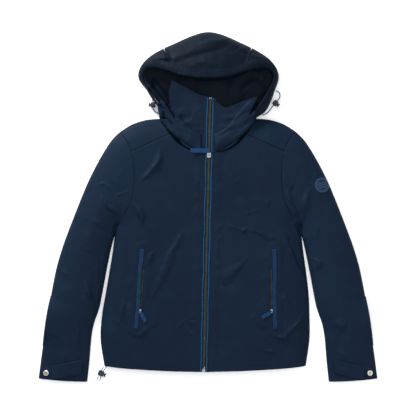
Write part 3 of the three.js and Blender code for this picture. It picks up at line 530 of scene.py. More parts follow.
# Folds in the shell: the line of each, in millimetres, its width and height, and how much
# steeper it is on its left as it runs. A negative height is a hollow.
FOLDS = [
    ([(-108, 165), (-140, 112), (-192, 54)], 13, 6, 1.5),
    ([(-92, 150), (-120, 96), (-160, 40)], 16, -3.5, 1.0),
    ([(-211, 22), (-192, -2), (-181, -30), (-178, -60)], 11, 7, 0.6),
    ([(-200, 60), (-205, 20), (-222, -8), (-238, -22)], 9, -7, 1.0),
    ([(-27, 10), (-52, -38), (-84, -96), (-118, -168), (-146, -232), (-173, -284)], 17, 6.5, 0.62),
    ([(-10, -6), (-34, -60), (-70, -122), (-104, -196), (-130, -250)], 18, -4, 1.0),
    ([(-38, 120), (-30, 70), (-25, 12)], 14, 4, 1.3),
    ([(-60, 100), (-44, 60), (-34, 30)], 12, -3, 1.0),
    ([(-150, -300), (-168, -330), (-196, -352)], 14, 4, 1.2),
    ([(-205, -190), (-222, -240), (-235, -300), (-240, -360)], 15, 4.5, 1.3),
    ([(-60, -300), (-90, -340), (-104, -392)], 16, 3, 1.2),
    ([(-150, -120), (-172, -160), (-196, -188)], 13, 3.5, 1.1),
    ([(-225, -130), (-230, -170), (-244, -230)], 10, 4.5, 0.8),
    ([(-130, -380), (-160, -402), (-200, -410)], 12, 3, 1.0),
    # right sleeve, on the viewer's left
    ([(-300, 60), (-278, 62), (-258, 40)], 10, 5, 1.3),
    ([(-292, 34), (-276, 8), (-262, -6), (-238, -14)], 9, 6.5, 0.7),
    ([(-282, 60), (-266, 20), (-256, 4)], 9, -5, 1.0),
    ([(-330, -30), (-297, -44), (-272, -62), (-252, -72)], 11, 5.5, 0.75),
    ([(-268, 88), (-250, 70), (-230, 44)], 9, 4, 1.0),
    ([(-256, 30), (-232, 36), (-212, 42)], 7, 5, 1.3),
    ([(-410, -160), (-384, -178), (-352, -188)], 12, 5, 1.2),
    ([(-392, -120), (-372, -170), (-334, -206)], 15, -4, 1.0),
    ([(-352, -170), (-330, -214), (-312, -262), (-306, -300)], 12, 6, 0.7),
    ([(-300, -120), (-296, -170), (-304, -226)], 11, 4.5, 1.0),
    ([(-400, -250), (-380, -300), (-372, -360)], 18, 3, 1.0),
    ([(-345, -300), (-352, -350), (-350, -392)], 12, 4, 1.3),
    ([(-350, -90), (-330, -112), (-300, -120)], 13, 3.5, 1.2),
    ([(-440, -330), (-420, -345), (-396, -352)], 11, 2.5, 1.0),
    # left half of the front
    ([(52, -46), (80, -58), (112, -66)], 8, 5, 1.4),
    ([(96, -22), (116, -14), (150, -6)], 8, 4.5, 0.8),
    ([(92, -58), (128, -64), (164, -80), (196, -94)], 9, 5.5, 1.35),
    ([(100, -34), (140, -44), (178, -62)], 10, -3.5, 1.0),
    ([(186, -40), (206, -84), (236, -150), (268, -220)], 13, 6.5, 0.7),
    ([(206, -30), (226, -78), (250, -140), (268, -190)], 11, -4.5, 1.0),
    ([(10, -236), (44, -196), (84, -160), (120, -120)], 18, 5, 0.8),
    ([(30, -262), (70, -224), (110, -180)], 18, -3, 1.0),
    ([(120, 60), (140, 30), (160, 10), (190, 4)], 15, 4, 0.9),
    ([(60, 120), (72, 80), (100, 40)], 18, 3, 1.0),
    ([(190, -368), (216, -338), (246, -312), (272, -290)], 13, 6.5, 0.7),
    ([(150, -345), (190, -350), (232, -362), (262, -384)], 15, 4.5, 0.8),
    ([(120, -372), (156, -386), (200, -392)], 14, 4, 1.2),
    ([(196, -212), (216, -262), (236, -300)], 12, 4, 1.0),
    ([(40, -330), (60, -372), (66, -404)], 15, 3, 1.0),
    ([(96, -208), (92, -240), (108, -272)], 14, 3, 1.0),
    # left sleeve, on the viewer's right
    ([(211, 48), (222, 18), (243, -30), (250, -52)], 8, 6.5, 1.2),
    ([(206, 92), (214, 66), (240, 44)], 9, 5, 1.2),
    ([(276, 60), (262, 8), (252, -44)], 12, 6, 1.2),
    ([(252, 96), (244, 50), (246, 8)], 10, -5, 1.0),
    ([(300, -20), (290, -74), (296, -118), (302, -172)], 14, 5.5, 0.8),
    ([(276, -52), (276, -110), (290, -166)], 10, -4, 1.0),
    ([(252, -66), (270, -116), (286, -170), (302, -222)], 9, 5.5, 0.8),
    ([(268, -138), (290, -142), (312, -158)], 8, 4.5, 1.3),
    ([(330, -250), (352, -300), (360, -350)], 18, 3.5, 1.1),
    ([(322, -330), (352, -316), (390, -322)], 16, 4, 1.2),
    ([(330, -386), (360, -398), (400, -400)], 12, 3.5, 1.0),
    ([(262, 150), (290, 92), (300, 40)], 18, 3.5, 1.0),
    ([(380, -120), (372, -170), (380, -230)], 18, 3, 1.0),
]
FOLD_STRENGTH = 1.5
HOLLOW = 2.2 * MM  # the deepest that a hollow goes before it meets the layers inside
FLAT_ALONG = {  # straight pieces beside which the shell lies flat, and how wide the flat strip is
    "piping_left": (12, 34), "piping_right": (12, 34),
    "pocket_binding_left": (13, 26), "pocket_binding_right": (13, 26),
    "pocket_zip_left": (11, 24), "pocket_zip_right": (11, 24),
}


def flat_share(points):
    """0 where a zip, pocket, stud or badge needs flat cloth, and 1 away from them."""
    share = np.ones(len(points))
    for node, (near, far) in FLAT_ALONG.items():
        away = from_line(points, np.array([end[:2] for end in spine(node)]))[0]
        share = np.minimum(share, smoothstep(away, near * MM, far * MM))
    for node, near, far in [("cuff_stud_left", 9, 18), ("cuff_stud_right", 9, 18), ("sleeve_badge", 19, 34),
                            ("pocket_pull_left", 28, 46), ("pocket_pull_right", 28, 46)]:
        low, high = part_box(node)
        away = np.linalg.norm(points - np.array(((low + high) / 2)[:2]), axis=1)
        share = np.minimum(share, smoothstep(away, near * MM, far * MM))
    return share


def folded(points):
    """How much the folds and small creases raise the shell."""
    lift = np.zeros(len(points))
    for path, width, height, lean in FOLDS:
        line = smooth_path(np.array(path) * MM, 8 * MM)
        reach = 3.2 * width * MM
        low, high = line.min(0) - reach, line.max(0) + reach
        near = np.flatnonzero(((points > low) & (points < high)).all(1))
        if not len(near):
            continue
        away, side, along = from_line(points[near], line)
        wide = width * MM * np.where(side > 0, 1 / lean, lean)
        wide = wide * (0.8 + 0.4 * np.sin(along * 7 + width))
        ends = np.sin(np.pi * np.clip(along, 0, 1)) ** 0.6
        lift[near] += FOLD_STRENGTH * height * MM * np.exp(-((away / wide) ** 2)) * ends
    lift += 2.2 * MM * ragged(points, 9, 2, 3.1)
    lift += 1.3 * MM * ragged(points, 24, 3, 8.4, (1, 0.7))
    creased = 1 - np.abs(ragged(points, 13, 3, 6.6, (1.3, 0.7)))
    lift += 3.0 * MM * (np.maximum(creased, 0) ** 6 - 0.5)
    lift += 0.4 * MM * ragged(points, 70, 3, 5.2)
    return lift


SIMULATED = []  # the simulated cloth's points and how far each has moved up


def shell_height(points, depth=0.0):
    """Height of the upper shell at plan points, or of a layer that lies depth inside it."""
    p = np.asarray(points, float)[:, :2]
    away = np.maximum(nearest(OUTER_EDGE, p) - depth, 0)
    sleeve = np.abs(p[:, 0]) > 0.30
    taper = 1 - TAPER * smoothstep(-p[:, 1], -TAPER_FROM, -TAPER_TO) * sleeve
    share = np.clip(away / ROLL, 0, 1)
    base = EDGE_Z + (LOFT - depth) * taper * np.sqrt(1 - (1 - share) ** 2)
    calm = flat_share(p) * smoothstep(away, 0, 22 * MM)
    lift = folded(p)
    if SIMULATED:
        lift = lift + simulated_lift(p)
    lift = np.where(lift < 0, -HOLLOW * np.tanh(-lift / HOLLOW), lift)
    return base + calm * np.maximum(lift, -0.55 * (base - EDGE_Z))


def simulated_lift(p):
    tree, moved = SIMULATED
    out = np.empty(len(p))
    for i, (x, y) in enumerate(p):
        found = tree.find_n((x, y, 0), 3)
        weights = [1 / (f[2] + 1e-4) for f in found]
        out[i] = sum(w * moved[f[1]] for w, f in zip(weights, found)) / sum(weights)
    return out


def simulate_shell():
    """Lets one cloth over the whole upper side buckle a little, and keeps how far each point rose."""
    loops = [OUTLINES[node][0] for node in SHELL_NODES]
    pitch = 7.5 * MM
    spans = [loop[:, :2] for loop in loops]
    low, high = np.vstack(spans).min(0), np.vstack(spans).max(0)
    xs, ys = np.arange(low[0], high[0], pitch), np.arange(low[1], high[1], pitch)
    grid = np.array([(x, y) for y in ys for x in xs])
    kept = np.zeros(len(grid), bool)
    for loop in loops:
        kept |= inside(grid, [loop])
    index = -np.ones(len(grid), int)
    index[kept] = np.arange(kept.sum())
    columns = len(xs)
    faces = []
    for j in range(len(ys) - 1):
        for i in range(columns - 1):
            quad = [j * columns + i, j * columns + i + 1, (j + 1) * columns + i + 1, (j + 1) * columns + i]
            if all(index[q] >= 0 for q in quad):
                faces.append([index[q] for q in quad])
    flat = grid[kept]
    z = shell_height(flat)
    cloth = make("settling", np.column_stack([flat, z]), faces, SHELL)
    calm = flat_share(flat) * smoothstep(nearest(OUTER_EDGE, flat), 0, 14 * MM)
    pinned = cloth.vertex_groups.new(name="held")
    for i, share in enumerate(calm):
        pinned.add([i], float(1 - share) ** 2, "REPLACE")
    settle = cloth.modifiers.new("cloth", "CLOTH")
    settings = settle.settings
    settings.quality = 5
    settings.mass = 0.2
    settings.tension_stiffness = settings.compression_stiffness = 18
    settings.shear_stiffness = 9
    settings.bending_stiffness = 0.35
    settings.shrink_min = -0.035
    settings.vertex_group_mass = "held"
    settings.pin_stiffness = 1.0
    settings.effector_weights.gravity = 0.25
    settle.collision_settings.use_collision = False
    settle.collision_settings.use_self_collision = False
    scene = bpy.context.scene
    for number in range(1, 19):
        scene.frame_set(number)
    graph = bpy.context.evaluated_depsgraph_get()
    moved = vertices(cloth.evaluated_get(graph))[:, 2] - z
    scene.frame_set(1)
    bpy.data.objects.remove(cloth)
    SIMULATED[:] = [tree_of(flat), np.clip(moved, -6 * MM, 6 * MM)]


simulate_shell()

# ---------- Cloth pieces ----------


def follow(obj, body):
    """Rides on a body; a piece on a sleeve's body instead has its place baked into its mesh and rides on
    nothing.
    """
    if body.startswith("sleeve_"):
        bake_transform(obj)
    else:
        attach(obj, body)
    return obj


def declare_sheet(obj, closed=True):
    """Works out the size that a cloth piece was cut to, but keeps nothing of it: the piece is returned
    unchanged.
    """
    p = vertices(obj)
    area = sum(f.area for f in obj.data.polygons) / (2 if closed else 1)
    spans = sorted(np.ptp(p, axis=0))[1:]
    scale = max(1.0, math.sqrt(area / (spans[0] * spans[1])))
    flat = (round(spans[0] * scale * 1.01, 3), round(spans[1] * scale * 1.01, 3))
    area = min(max(area, 0.31 * flat[0] * flat[1]), flat[0] * flat[1])
    return obj


def body_of(node):
    return NODES[node]["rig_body"]


ON_TOP = {}  # finished upper skins, for what is sewn on them


def skin_tree(name):
    """A search tree over a finished upper skin."""
    points, faces = ON_TOP[name]
    return BVHTree.FromPolygons([tuple(q) for q in points], [tuple(map(int, f)) for f in faces])


def grid_faces(n, m):
    """The faces of a grid of n rows and m columns of points."""
    return [(i * m + j, i * m + j + 1, (i + 1) * m + j + 1, (i + 1) * m + j)
            for i in range(n - 1) for j in range(m - 1)]


def shell_panel(node, spacing, material):
    """A shell panel with its own folds, rolled edges and the thickness of the cloth."""
    loops = OUTLINES[node]
    flat, faces = filled(loops, spacing)
    away = nearest(tree_of(np.vstack([evenly(np.vstack([l, l[:1]]), MM) for l in loops])), flat)
    z = shell_height(flat) - 0.9 * MM * (1 - smoothstep(away, 0, 2.6 * MM)) * (shell_height(flat) > 4 * MM)
    points = np.column_stack([flat, np.maximum(z, EDGE_Z)])
    ON_TOP[node] = (points, faces)
    made = make(node + "_cloth", points, faces, material)
    changed(made, "SOLIDIFY", thickness=0.8 * MM, offset=-1.0)
    made.data.polygons.foreach_set("use_smooth", [True] * len(made.data.polygons))
    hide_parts(node)
    follow(made, body_of(node))
    return declare_sheet(made)


def soft_copy(node, material, levels=2, lift=None, crease=0.9):
    """A CAD piece of cloth made fine and smooth, with lift(points) added to its points."""
    bm = bare(node)
    bmesh.ops.join_triangles(bm, faces=bm.faces, angle_face_threshold=0.6, angle_shape_threshold=3.1)
    sharpness = bm.edges.layers.float.new("crease_edge")
    for edge in bm.edges:
        if len(edge.link_faces) == 2 and edge.calc_face_angle(0) > math.radians(55):
            edge[sharpness] = crease
    mesh = bpy.data.meshes.new(node + "_cloth")
    bm.to_mesh(mesh)
    bm.free()
    mesh.materials.clear()
    mesh.materials.append(material)
    made = bpy.data.objects.new(node + "_cloth", mesh)
    bpy.context.scene.collection.objects.link(made)
    changed(made, "SUBSURF", levels=levels, render_levels=levels)
    if lift:
        p = vertices(made)
        put(made, p + lift(p))
    made.data.polygons.foreach_set("use_smooth", [True] * len(made.data.polygons))
    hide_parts(node)
    return made


def upward(amount):
    return np.column_stack([np.zeros_like(amount), np.zeros_like(amount), amount])


def small_creases(height, per_metre, seed, only_up=False):
    def lift(p):
        amount = height * (ragged(p, per_metre, 3, seed) + (1.0 if only_up else 0.0))
        return upward(amount)

    return lift


for node in SHELL_NODES:
    shell_panel(node, 3.2 * MM, SLEEVE if node.startswith("sleeve") else SHELL)

for i, node in enumerate(["back_panel", "back_yoke", "sleeve_under_left", "sleeve_under_right"]):
    material = SLEEVE if "sleeve" in node else SHELL
    made = soft_copy(node, material, 3, small_creases(0.1 * MM, 20, i, True), 1.0)
    follow(made, body_of(node))
    declare_sheet(made)

INNER = [f"{part}_{side}" for part in ("lining_front", "sleeve_lining", "pocket_bag") for side in SIDES]
for i, node in enumerate(["lining_back", "wind_flap", *INNER]):
    fineness = 3 if "pocket" in node or node == "wind_flap" else 2
    made = soft_copy(node, LINING, fineness, small_creases(0.12 * MM, 30, i))
    follow(made, body_of(node))
    declare_sheet(made)

# ---------- The hood ----------

HOOD_FOLDS = [
    ([(-92, 384), (-58, 396), (-19, 408), (24, 419), (66, 440)], 9, -5, 0.7),
    ([(-100, 392), (-60, 406), (-19, 420), (30, 432), (62, 446)], 11, 4, 1.0),
    ([(60, 446), (84, 428), (112, 410), (140, 398)], 9, 4.5, 1.3),
    ([(70, 434), (96, 414), (128, 402)], 8, -4, 1.0),
    ([(-20, 440), (14, 446), (54, 452)], 8, 3.5, 1.2),
    ([(96, 388), (130, 384), (164, 392)], 8, 3.5, 1.0),
    ([(-150, 392), (-128, 400), (-100, 398)], 8, 3.5, 1.0),
    ([(-104, 372), (-100, 400), (-108, 432)], 6, -2.5, 1.0),
    ([(98, 376), (102, 404), (108, 430)], 6, -2.5, 1.0),
    ([(-60, 372), (-20, 384), (20, 384), (60, 372)], 12, 3, 1.0),
    ([(-150, 260), (-166, 290), (-176, 320)], 7, 2.5, 1.0),
    ([(150, 262), (166, 290), (178, 320)], 7, 2.5, 1.0),
]


def hood_lift(p):
    """The hood's folds, outwards and up."""
    plan = p[:, :2]
    amount = 2.0 * MM * ragged(p, 14, 3, 2.2) + 0.5 * MM * ragged(p, 60, 2, 4.4)
    amount += 2.4 * MM * (1 - np.abs(ragged(p, 15, 2, 7.9, (0.6, 1.5)))) ** 6
    for path, width, height, lean in HOOD_FOLDS:
        away, side, along = from_line(plan, smooth_path(np.array(path) * MM, 8 * MM))
        wide = width * MM * np.where(side > 0, 1 / lean, lean)
        amount += height * MM * np.exp(-((away / wide) ** 2)) * np.sin(np.pi * along) ** 0.6
    calm = smoothstep(p[:, 2], 6 * MM, 16 * MM)
    return upward(amount * calm)


HOOD_PANELS = ["hood_right_panel", "hood_centre_panel", "hood_left_panel"]
for node in HOOD_PANELS:
    made = soft_copy(node, HOOD_SHELL_PAINTED_DARKER, 3, hood_lift, 0.8)
    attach(made, "jacket")
    declare_sheet(made)
    mesh = made.data
    ON_TOP[node] = (vertices(made), [tuple(f.vertices) for f in mesh.polygons])


LINING_FOLDS = [
    ([(22, 302), (66, 316), (130, 319)], 5, 7), ([(-40, 330), (10, 336), (60, 330)], 6, 5),
    ([(112, 352), (134, 330), (152, 306)], 5, 8), ([(96, 350), (118, 322), (128, 300)], 5, 6),
    ([(-150, 352), (-140, 326), (-118, 296)], 6, 7), ([(-120, 350), (-128, 320), (-112, 300)], 5, 5),
    ([(88, 352), (90, 320), (90, 300)], 2.5, 3),
]


def lining_lift(p):
    amount = 2.0 * MM * ragged(p, 22, 3, 7.7) + 1.2 * MM * ragged(p, 50, 2, 1.7, (0.4, 1.5))
    amount += 5.0 * MM * (1 - np.abs(ragged(p, 13, 2, 4.9, (0.7, 1.4)))) ** 6
    for path, width, height in LINING_FOLDS:
        away, _, along = from_line(p[:, :2], smooth_path(np.array(path) * MM, 8 * MM))
        amount += height * MM * np.exp(-((away / (width * MM)) ** 2)) * np.sin(np.pi * along) ** 0.6
    under = p[:, 2] > 8 * MM
    return upward(np.where(under, 0, np.maximum(amount, -0.3 * MM)))


made = soft_copy("hood_lining", LINING, 2, lining_lift)
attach(made, "jacket")
declare_sheet(made)

# ---------- The collar ----------

COLLAR_FOLDS = [
    ([(-92, 210), (-60, 226), (-20, 222)], 8, 3, 1.0),
    ([(-96, 262), (-70, 250), (-44, 254)], 7, 2.5, 0.8),
    ([(-110, 230), (-84, 244), (-60, 270)], 8, 3, 1.2),
    ([(-60, 180), (-36, 190), (-16, 186)], 6, 2.5, 1.0),
    ([(20, 190), (44, 184), (74, 196)], 6, 2.5, 1.0),
    ([(20, 220), (50, 214), (78, 222)], 7, 2.5, 1.2),
    ([(30, 244), (60, 240), (90, 254)], 7, 2, 1.0),
]


def collar_lift(p):
    amount = 1.6 * MM * ragged(p, 26, 3, 6.1) + 1.6 * MM * (1 - np.abs(ragged(p, 17, 2, 1.3))) ** 5
    for path, width, height, lean in COLLAR_FOLDS:
        away, side, along = from_line(p[:, :2], smooth_path(np.array(path) * MM, 8 * MM))
        wide = width * MM * np.where(side > 0, 1 / lean, lean)
        amount += height * MM * np.exp(-((away / wide) ** 2)) * np.sin(np.pi * along) ** 0.6
    calm = smoothstep(np.abs(p[:, 0] - 4 * MM), 10 * MM, 26 * MM)
    return upward(np.maximum(amount, -0.3 * MM) * calm)


for side in SIDES:
    for part, material in (("collar_outer", SHELL), ("collar_facing", FACING)):
        node = f"{part}_{side}"
        made = soft_copy(node, material, 4, collar_lift, 0.9)
        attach(made, "jacket")
        declare_sheet(made)
        if part == "collar_outer":
            ON_TOP[node] = (vertices(made), [tuple(f.vertices) for f in made.data.polygons])

NECK_PARTS = ("collar_outer", "front_panel", "front_yoke")
NECK_SKINS = HOOD_PANELS + [f"{part}_{side}" for part in NECK_PARTS for side in SIDES]


SEATED = 24 * MM  # how far in from its edge a draped piece lies down on what is under it
LOCK_CLEARANCE = 4 * MM  # between the hood's stitched channel and a cord lock


def draped(name, loop, clear, material, lift, rounds=120):
    """A piece of cloth stretched over everything that lies under its outline."""
    loop = np.column_stack([np.array(loop) * MM, np.zeros(len(loop))])
    flat, faces = filled([smooth_loop(loop, 3 * MM)], 3 * MM)
    trees = [skin_tree(n) for n in NECK_SKINS]
    rest = np.full(len(flat), -1.0)
    for i, (x, y) in enumerate(flat):
        for tree in trees:
            hit = tree.ray_cast(Vector((x, y, 0.3)), Vector((0, 0, -1)))[0]
            if hit:
                rest[i] = max(rest[i], hit.z + clear)
    known = rest > 0
    z = np.where(known, rest, rest[known].mean())
    a, b = np.vstack([faces[:, [0, 1]], faces[:, [1, 2]], faces[:, [2, 0]]]).T
    for _ in range(rounds):
        total, count = np.zeros(len(flat)), np.zeros(len(flat))
        for one, other in ((a, b), (b, a)):
            np.add.at(total, one, z[other])
            np.add.at(count, one, 1)
        z = np.maximum(total / np.maximum(count, 1), rest)
    outline = nearest(tree_of(flat[list(edge_points(faces))]), flat)
    inner = smoothstep(outline, 0, 5 * MM)
    z = np.where(known, rest + (z - rest) * smoothstep(outline, 0, SEATED), z)
    z += lift(flat) * inner - 1.0 * MM * (1 - smoothstep(outline, 0, 2.5 * MM))
    made = make(name, np.column_stack([flat, z]), faces, material)
    changed(made, "SOLIDIFY", thickness=0.8 * MM, offset=-1.0)
    made.data.polygons.foreach_set("use_smooth", [True] * len(made.data.polygons))
    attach(made, "jacket")
    ON_TOP[name] = (np.column_stack([flat, z]), faces)
    return declare_sheet(made)


def edge_points(faces):
    """The points on the outline of a mesh."""
    edges = [tuple(sorted((int(f[i]), int(f[i - 1])))) for f in faces for i in range(3)]
    seen = {}
    for pair in edges:
        seen[pair] = seen.get(pair, 0) + 1
    return sorted({p for pair, count in seen.items() if count == 1 for p in pair})


def gathered(sign):
    """Creases that run from the hood's side down to the zip."""
    def lift(flat):
        across = sign * flat[:, 0] * 0.45 + flat[:, 1] * -0.89
        wander = 16 * MM * ragged(flat, 12, 2, 5.0 + sign)
        ridges = np.abs(np.sin((across + wander) / (9.5 * MM))) ** 0.7
        ridges = ridges * (0.7 + 0.8 * ragged(flat, 18, 2, 9.4))
        return 3.6 * MM * ridges + 2.4 * MM * ragged(flat, 26, 3, 2.6)
    return lift


def along_face(points, side):
    """The hood's face edge, from the neck to the top, in plan."""
    return smooth_path([(x * MM, y * MM) for x, y in points], 4 * MM) * (side, 1)


FACE = [(86, 214), (112, 246), (140, 282), (162, 318), (176, 348), (168, 369), (146, 375), (128, 373),
        (88, 359), (44, 347), (0, 344)]


def brim(side):
    """The stitched channel round the hood's opening: it rides on the hood, rolled and slightly scalloped."""
    edge = along_face(FACE, side)
    trees = [skin_tree(n) for n in HOOD_PANELS]
    along = np.gradient(edge, axis=0)
    out = np.column_stack([along[:, 1], -along[:, 0]]) / np.linalg.norm(along, axis=1)[:, None] * side
    shares = np.linspace(0, 1, 15)
    low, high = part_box("hood_left_lock" if side > 0 else "hood_right_lock")
    low, high = np.array(low[:2]) - LOCK_CLEARANCE, np.array(high[:2]) + LOCK_CLEARANCE

    def on_hood(x, y):
        if low[0] < x < high[0] and low[1] < y < high[1]:
            return False
        return any(t.ray_cast(Vector((x, y, 0.3)), Vector((0, 0, -1)))[0] for t in trees)

    room = []
    for (x, y), (ox, oy) in zip(edge, out):
        reach = [w for w in range(4, 25) if on_hood(x + ox * w * MM, y + oy * w * MM)]
        room.append(max(reach, default=6) - 1.5)
    room = np.array(room)
    for _ in range(12):
        room = np.minimum(room, np.convolve(np.pad(room, 1, "edge"), [0.25, 0.5, 0.25], "valid") + 0.3)
    room = np.minimum(room, 21)[:, None] * MM
    rows = []
    for share in shares:
        plan = edge + out * ((room + 2 * MM) * share - 2 * MM)
        z = []
        for x, y in plan:
            hits = [t.ray_cast(Vector((x, y, 0.3)), Vector((0, 0, -1)))[0] for t in trees]
            z.append(max((h.z for h in hits if h), default=np.nan))
        rows.append(np.column_stack([plan, z]))
    grid = np.array(rows)
    for j in range(grid.shape[1]):
        z = grid[:, j, 2]
        good = ~np.isnan(z)
        if good.any():
            grid[:, j, 2] = np.interp(shares, shares[good], z[good])
    ok = ~np.isnan(grid[:, :, 2]).any(0)
    grid = grid[:, ok]
    for _ in range(3):
        grid[:, 1:-1, 2] = np.maximum(np.maximum(grid[:, :-2, 2], grid[:, 1:-1, 2]), grid[:, 2:, 2])
    for _ in range(10):
        grid[:, 1:-1, 2] = (grid[:, :-2, 2] + 2 * grid[:, 1:-1, 2] + grid[:, 2:, 2]) / 4
    run = np.arange(grid.shape[1]) * 4 * MM
    crown = np.sin(np.pi * np.clip(shares * 1.04, 0, 1))[:, None] ** 0.5
    scallop = 0.35 * MM * np.sin(run * 2 * np.pi / (13 * MM))[None]
    scallop = scallop + 0.5 * MM * np.sin(run * 2 * np.pi / (57 * MM))[None]
    grid[:, :, 2] += 0.6 * MM + (2.6 * MM + scallop) * crown
    channel = sum(np.exp(-(((shares - row) / 0.05) ** 2)) for row in (0.62, 0.80))[:, None]
    grid[:, :, 2] -= 0.9 * MM * channel
    n, m = grid.shape[:2]
    faces = grid_faces(n, m)
    if side < 0:
        faces = [f[::-1] for f in faces]
    name = "hood_brim_" + ("left" if side > 0 else "right")
    made = make(name, grid.reshape(-1, 3), faces, HOOD_SHELL_PAINTED_DARKER)
    made.data.update()
    if sum(f.normal.z for f in made.data.polygons) < 0:
        made.data.flip_normals()
    changed(made, "SOLIDIFY", thickness=0.9 * MM, offset=-1.0)
    changed(made, "SUBSURF", levels=1, render_levels=1)
    made.data.polygons.foreach_set("use_smooth", [True] * len(made.data.polygons))
    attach(made, "jacket")
    ON_TOP[name] = (grid.reshape(-1, 3), faces)
    declare_sheet(made)


for sign in SIDES.values():
    brim(sign)

NECK_WRAP = [(131, 243), (126, 226), (106, 206), (84, 186), (56, 166), (34, 153), (15, 147), (15, 196),
             (30, 204), (48, 214), (64, 232), (76, 250), (92, 270), (110, 286), (128, 290), (136, 274),
             (133, 256)]
for side, sign in SIDES.items():
    wrap = [(sign * x, y) for x, y in NECK_WRAP]
    draped(f"neck_wrap_{side}", wrap if sign > 0 else wrap[::-1], 0.8 * MM, SHELL, gathered(sign))

made = soft_copy("hanger_loop", TAPE, 2)
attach(made, "jacket")

# ---------- Cuff tabs ----------


def tab_lift(sign):
    def lift(p):
        crease = np.exp(-(((sign * p[:, 0] - 0.384) / (4 * MM)) ** 2))
        return upward(0.5 * MM * ragged(p, 40, 2, 9.0) + 0.8 * MM * crease)

    return lift


for side, sign in SIDES.items():
    node = f"cuff_tab_{side}"
    made = soft_copy(node, SLEEVE, 3, tab_lift(sign), 1.0)
    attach(made, body_of(node))
    declare_sheet(made)
    ON_TOP[node] = (vertices(made), [tuple(f.vertices) for f in made.data.polygons])

# ---------- Cords ----------

CORDS = {
    "hood_left": (2.6, [
        (147.5, 249.2, 10.5), (154.5, 251.6, 10), (162, 256.6, 9.2), (168.5, 264, 8.5), (174, 271.8, 8),
        (178.5, 276.9, 8), (183, 282, 8), (187.5, 287.1, 8), (191.6, 292, 8.1), (194.6, 298, 8.5),
        (195, 304.5, 9), (192.5, 310.5, 9.5), (188, 314, 9.8), (184.2, 314.6, 10)]),
    "hood_right": (2.6, [
        (-122.8, 254, 10), (-130, 253.6, 9.6), (-137, 255, 9), (-143.5, 259, 8.4), (-147.8, 264.5, 8.1),
        (-149, 270, 8), (-149, 277, 8), (-149, 284, 8), (-149.8, 288.5, 8.4), (-150.8, 292.5, 9),
        (-151.3, 296.5, 9.4), (-151, 299.2, 9.6)]),
    "hem": (2.0, [
        (-283.6, -433.2, 7), (-285, -436.5, 7.6), (-286.7, -440, 8.7), (-288.2, -443, 8.2), (-292.1, -450, 8),
        (-295.5, -457.3, 8), (-298.2, -460.2, 8), (-300.2, -463.3, 8), (-300.2, -467, 8), (-298.2, -469.4, 8),
        (-295, -470, 8), (-292.2, -467.8, 8), (-291.3, -464.2, 8), (-291.4, -459.2, 8), (-287.9, -452, 8),
        (-284, -445, 8.2), (-281.2, -441.2, 8.7), (-278.5, -437.3, 9.2), (-275.6, -432.3, 9.2)]),
}


def tube(name, path, diameter, material, cyclic=False):
    """A round cord along a path."""
    curve = bpy.data.curves.new(name, "CURVE")
    curve.dimensions = "3D"
    curve.bevel_depth = diameter / 2
    curve.bevel_resolution = 4
    curve.use_fill_caps = True
    spline = curve.splines.new("POLY")
    spline.points.add(len(path) - 1)
    for point, place in zip(spline.points, path):
        point.co = (*map(float, place), 1)
    spline.use_cyclic_u = cyclic
    curve.materials.append(material)
    made = bpy.data.objects.new(name, curve)
    bpy.context.scene.collection.objects.link(made)
    return made


for name, (diameter, points) in CORDS.items():
    path = smooth_path(np.array(points) * MM, 1.5 * MM)
    cord = tube(name + "_braid", path, diameter * MM, CORD)
    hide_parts(name + "_cord")
    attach(cord, "jacket")

# ---------- Strips: zips, piping, bindings, ribbons ----------


def strip(name, start, end, section, step, material, body, waver=None):
    """A strip swept from start to end, with its section as (across, up) points, closed at its ends."""
    start, end = Vector(start), Vector(end)
    ahead = (end - start).normalized()
    across = ahead.cross(Vector((0, 0, 1))).normalized()
    count = max(2, round((end - start).length / step))
    points, faces, n = [], [], len(section)
    for i in range(count + 1):
        centre = start.lerp(end, i / count)
        side, up = waver(i / count) if waver else (0, 0)
        points += [centre + across * (a + side) + Vector((0, 0, u + up)) for a, u in section]
    for i in range(count):
        for k in range(n):
            a, b = i * n + k, i * n + (k + 1) % n
            faces.append((a, b, b + n, a + n))
    faces += [tuple(range(n - 1, -1, -1)), tuple(count * n + k for k in range(n))]
    return make(name, points, faces, material, body)


def oval(width, height, count=14, power=2.0):
    """A round or square-shouldered section, width by height."""
    out = []
    for k in range(count):
        c, s = math.cos(2 * math.pi * k / count), math.sin(2 * math.pi * k / count)
        shape = lambda v: math.copysign(abs(v) ** (2 / power), v)
        out.append((width / 2 * shape(c), height / 2 * shape(s)))
    return out


def joined(name, pieces, material, body):
    """Many small copies of shapes as one mesh: pieces are (points, faces)."""
    points, faces = [], []
    for more, more_faces in pieces:
        base = len(points)
        points += list(more)
        faces += [tuple(i + base for i in f) for f in more_faces]
    return make(name, points, faces, material, body)


def lozenge(length, width, height):
    """A small rounded bar along X: a stitch, a tooth or a rib."""
    rings = [(-0.5, 0.45), (-0.34, 0.9), (0, 1.0), (0.34, 0.9), (0.5, 0.45)]
    corners_of = [(0.5, 0), (0.32, 0.42), (-0.32, 0.42), (-0.5, 0), (-0.32, -0.42), (0.32, -0.42)]
    points = [(x * length, s * a * width, s * b * height) for x, s in rings for a, b in corners_of]
    n = len(corners_of)
    faces = [(i * n + k, i * n + (k + 1) % n, (i + 1) * n + (k + 1) % n, (i + 1) * n + k)
             for i in range(len(rings) - 1) for k in range(n)]
    faces += [tuple(range(n - 1, -1, -1)), tuple((len(rings) - 1) * n + k for k in range(n))]
    return np.array(points), faces


def placed(shape, at, ahead, up=(0, 0, 1)):
    """A shape's points turned so that its X runs ahead, and moved to a place."""
    points, faces = shape
    ahead = Vector(ahead).normalized()
    side = Vector(up).cross(ahead).normalized()
    top = ahead.cross(side)
    turn = np.array([ahead, side, top])
    return points @ turn + np.array(at), faces


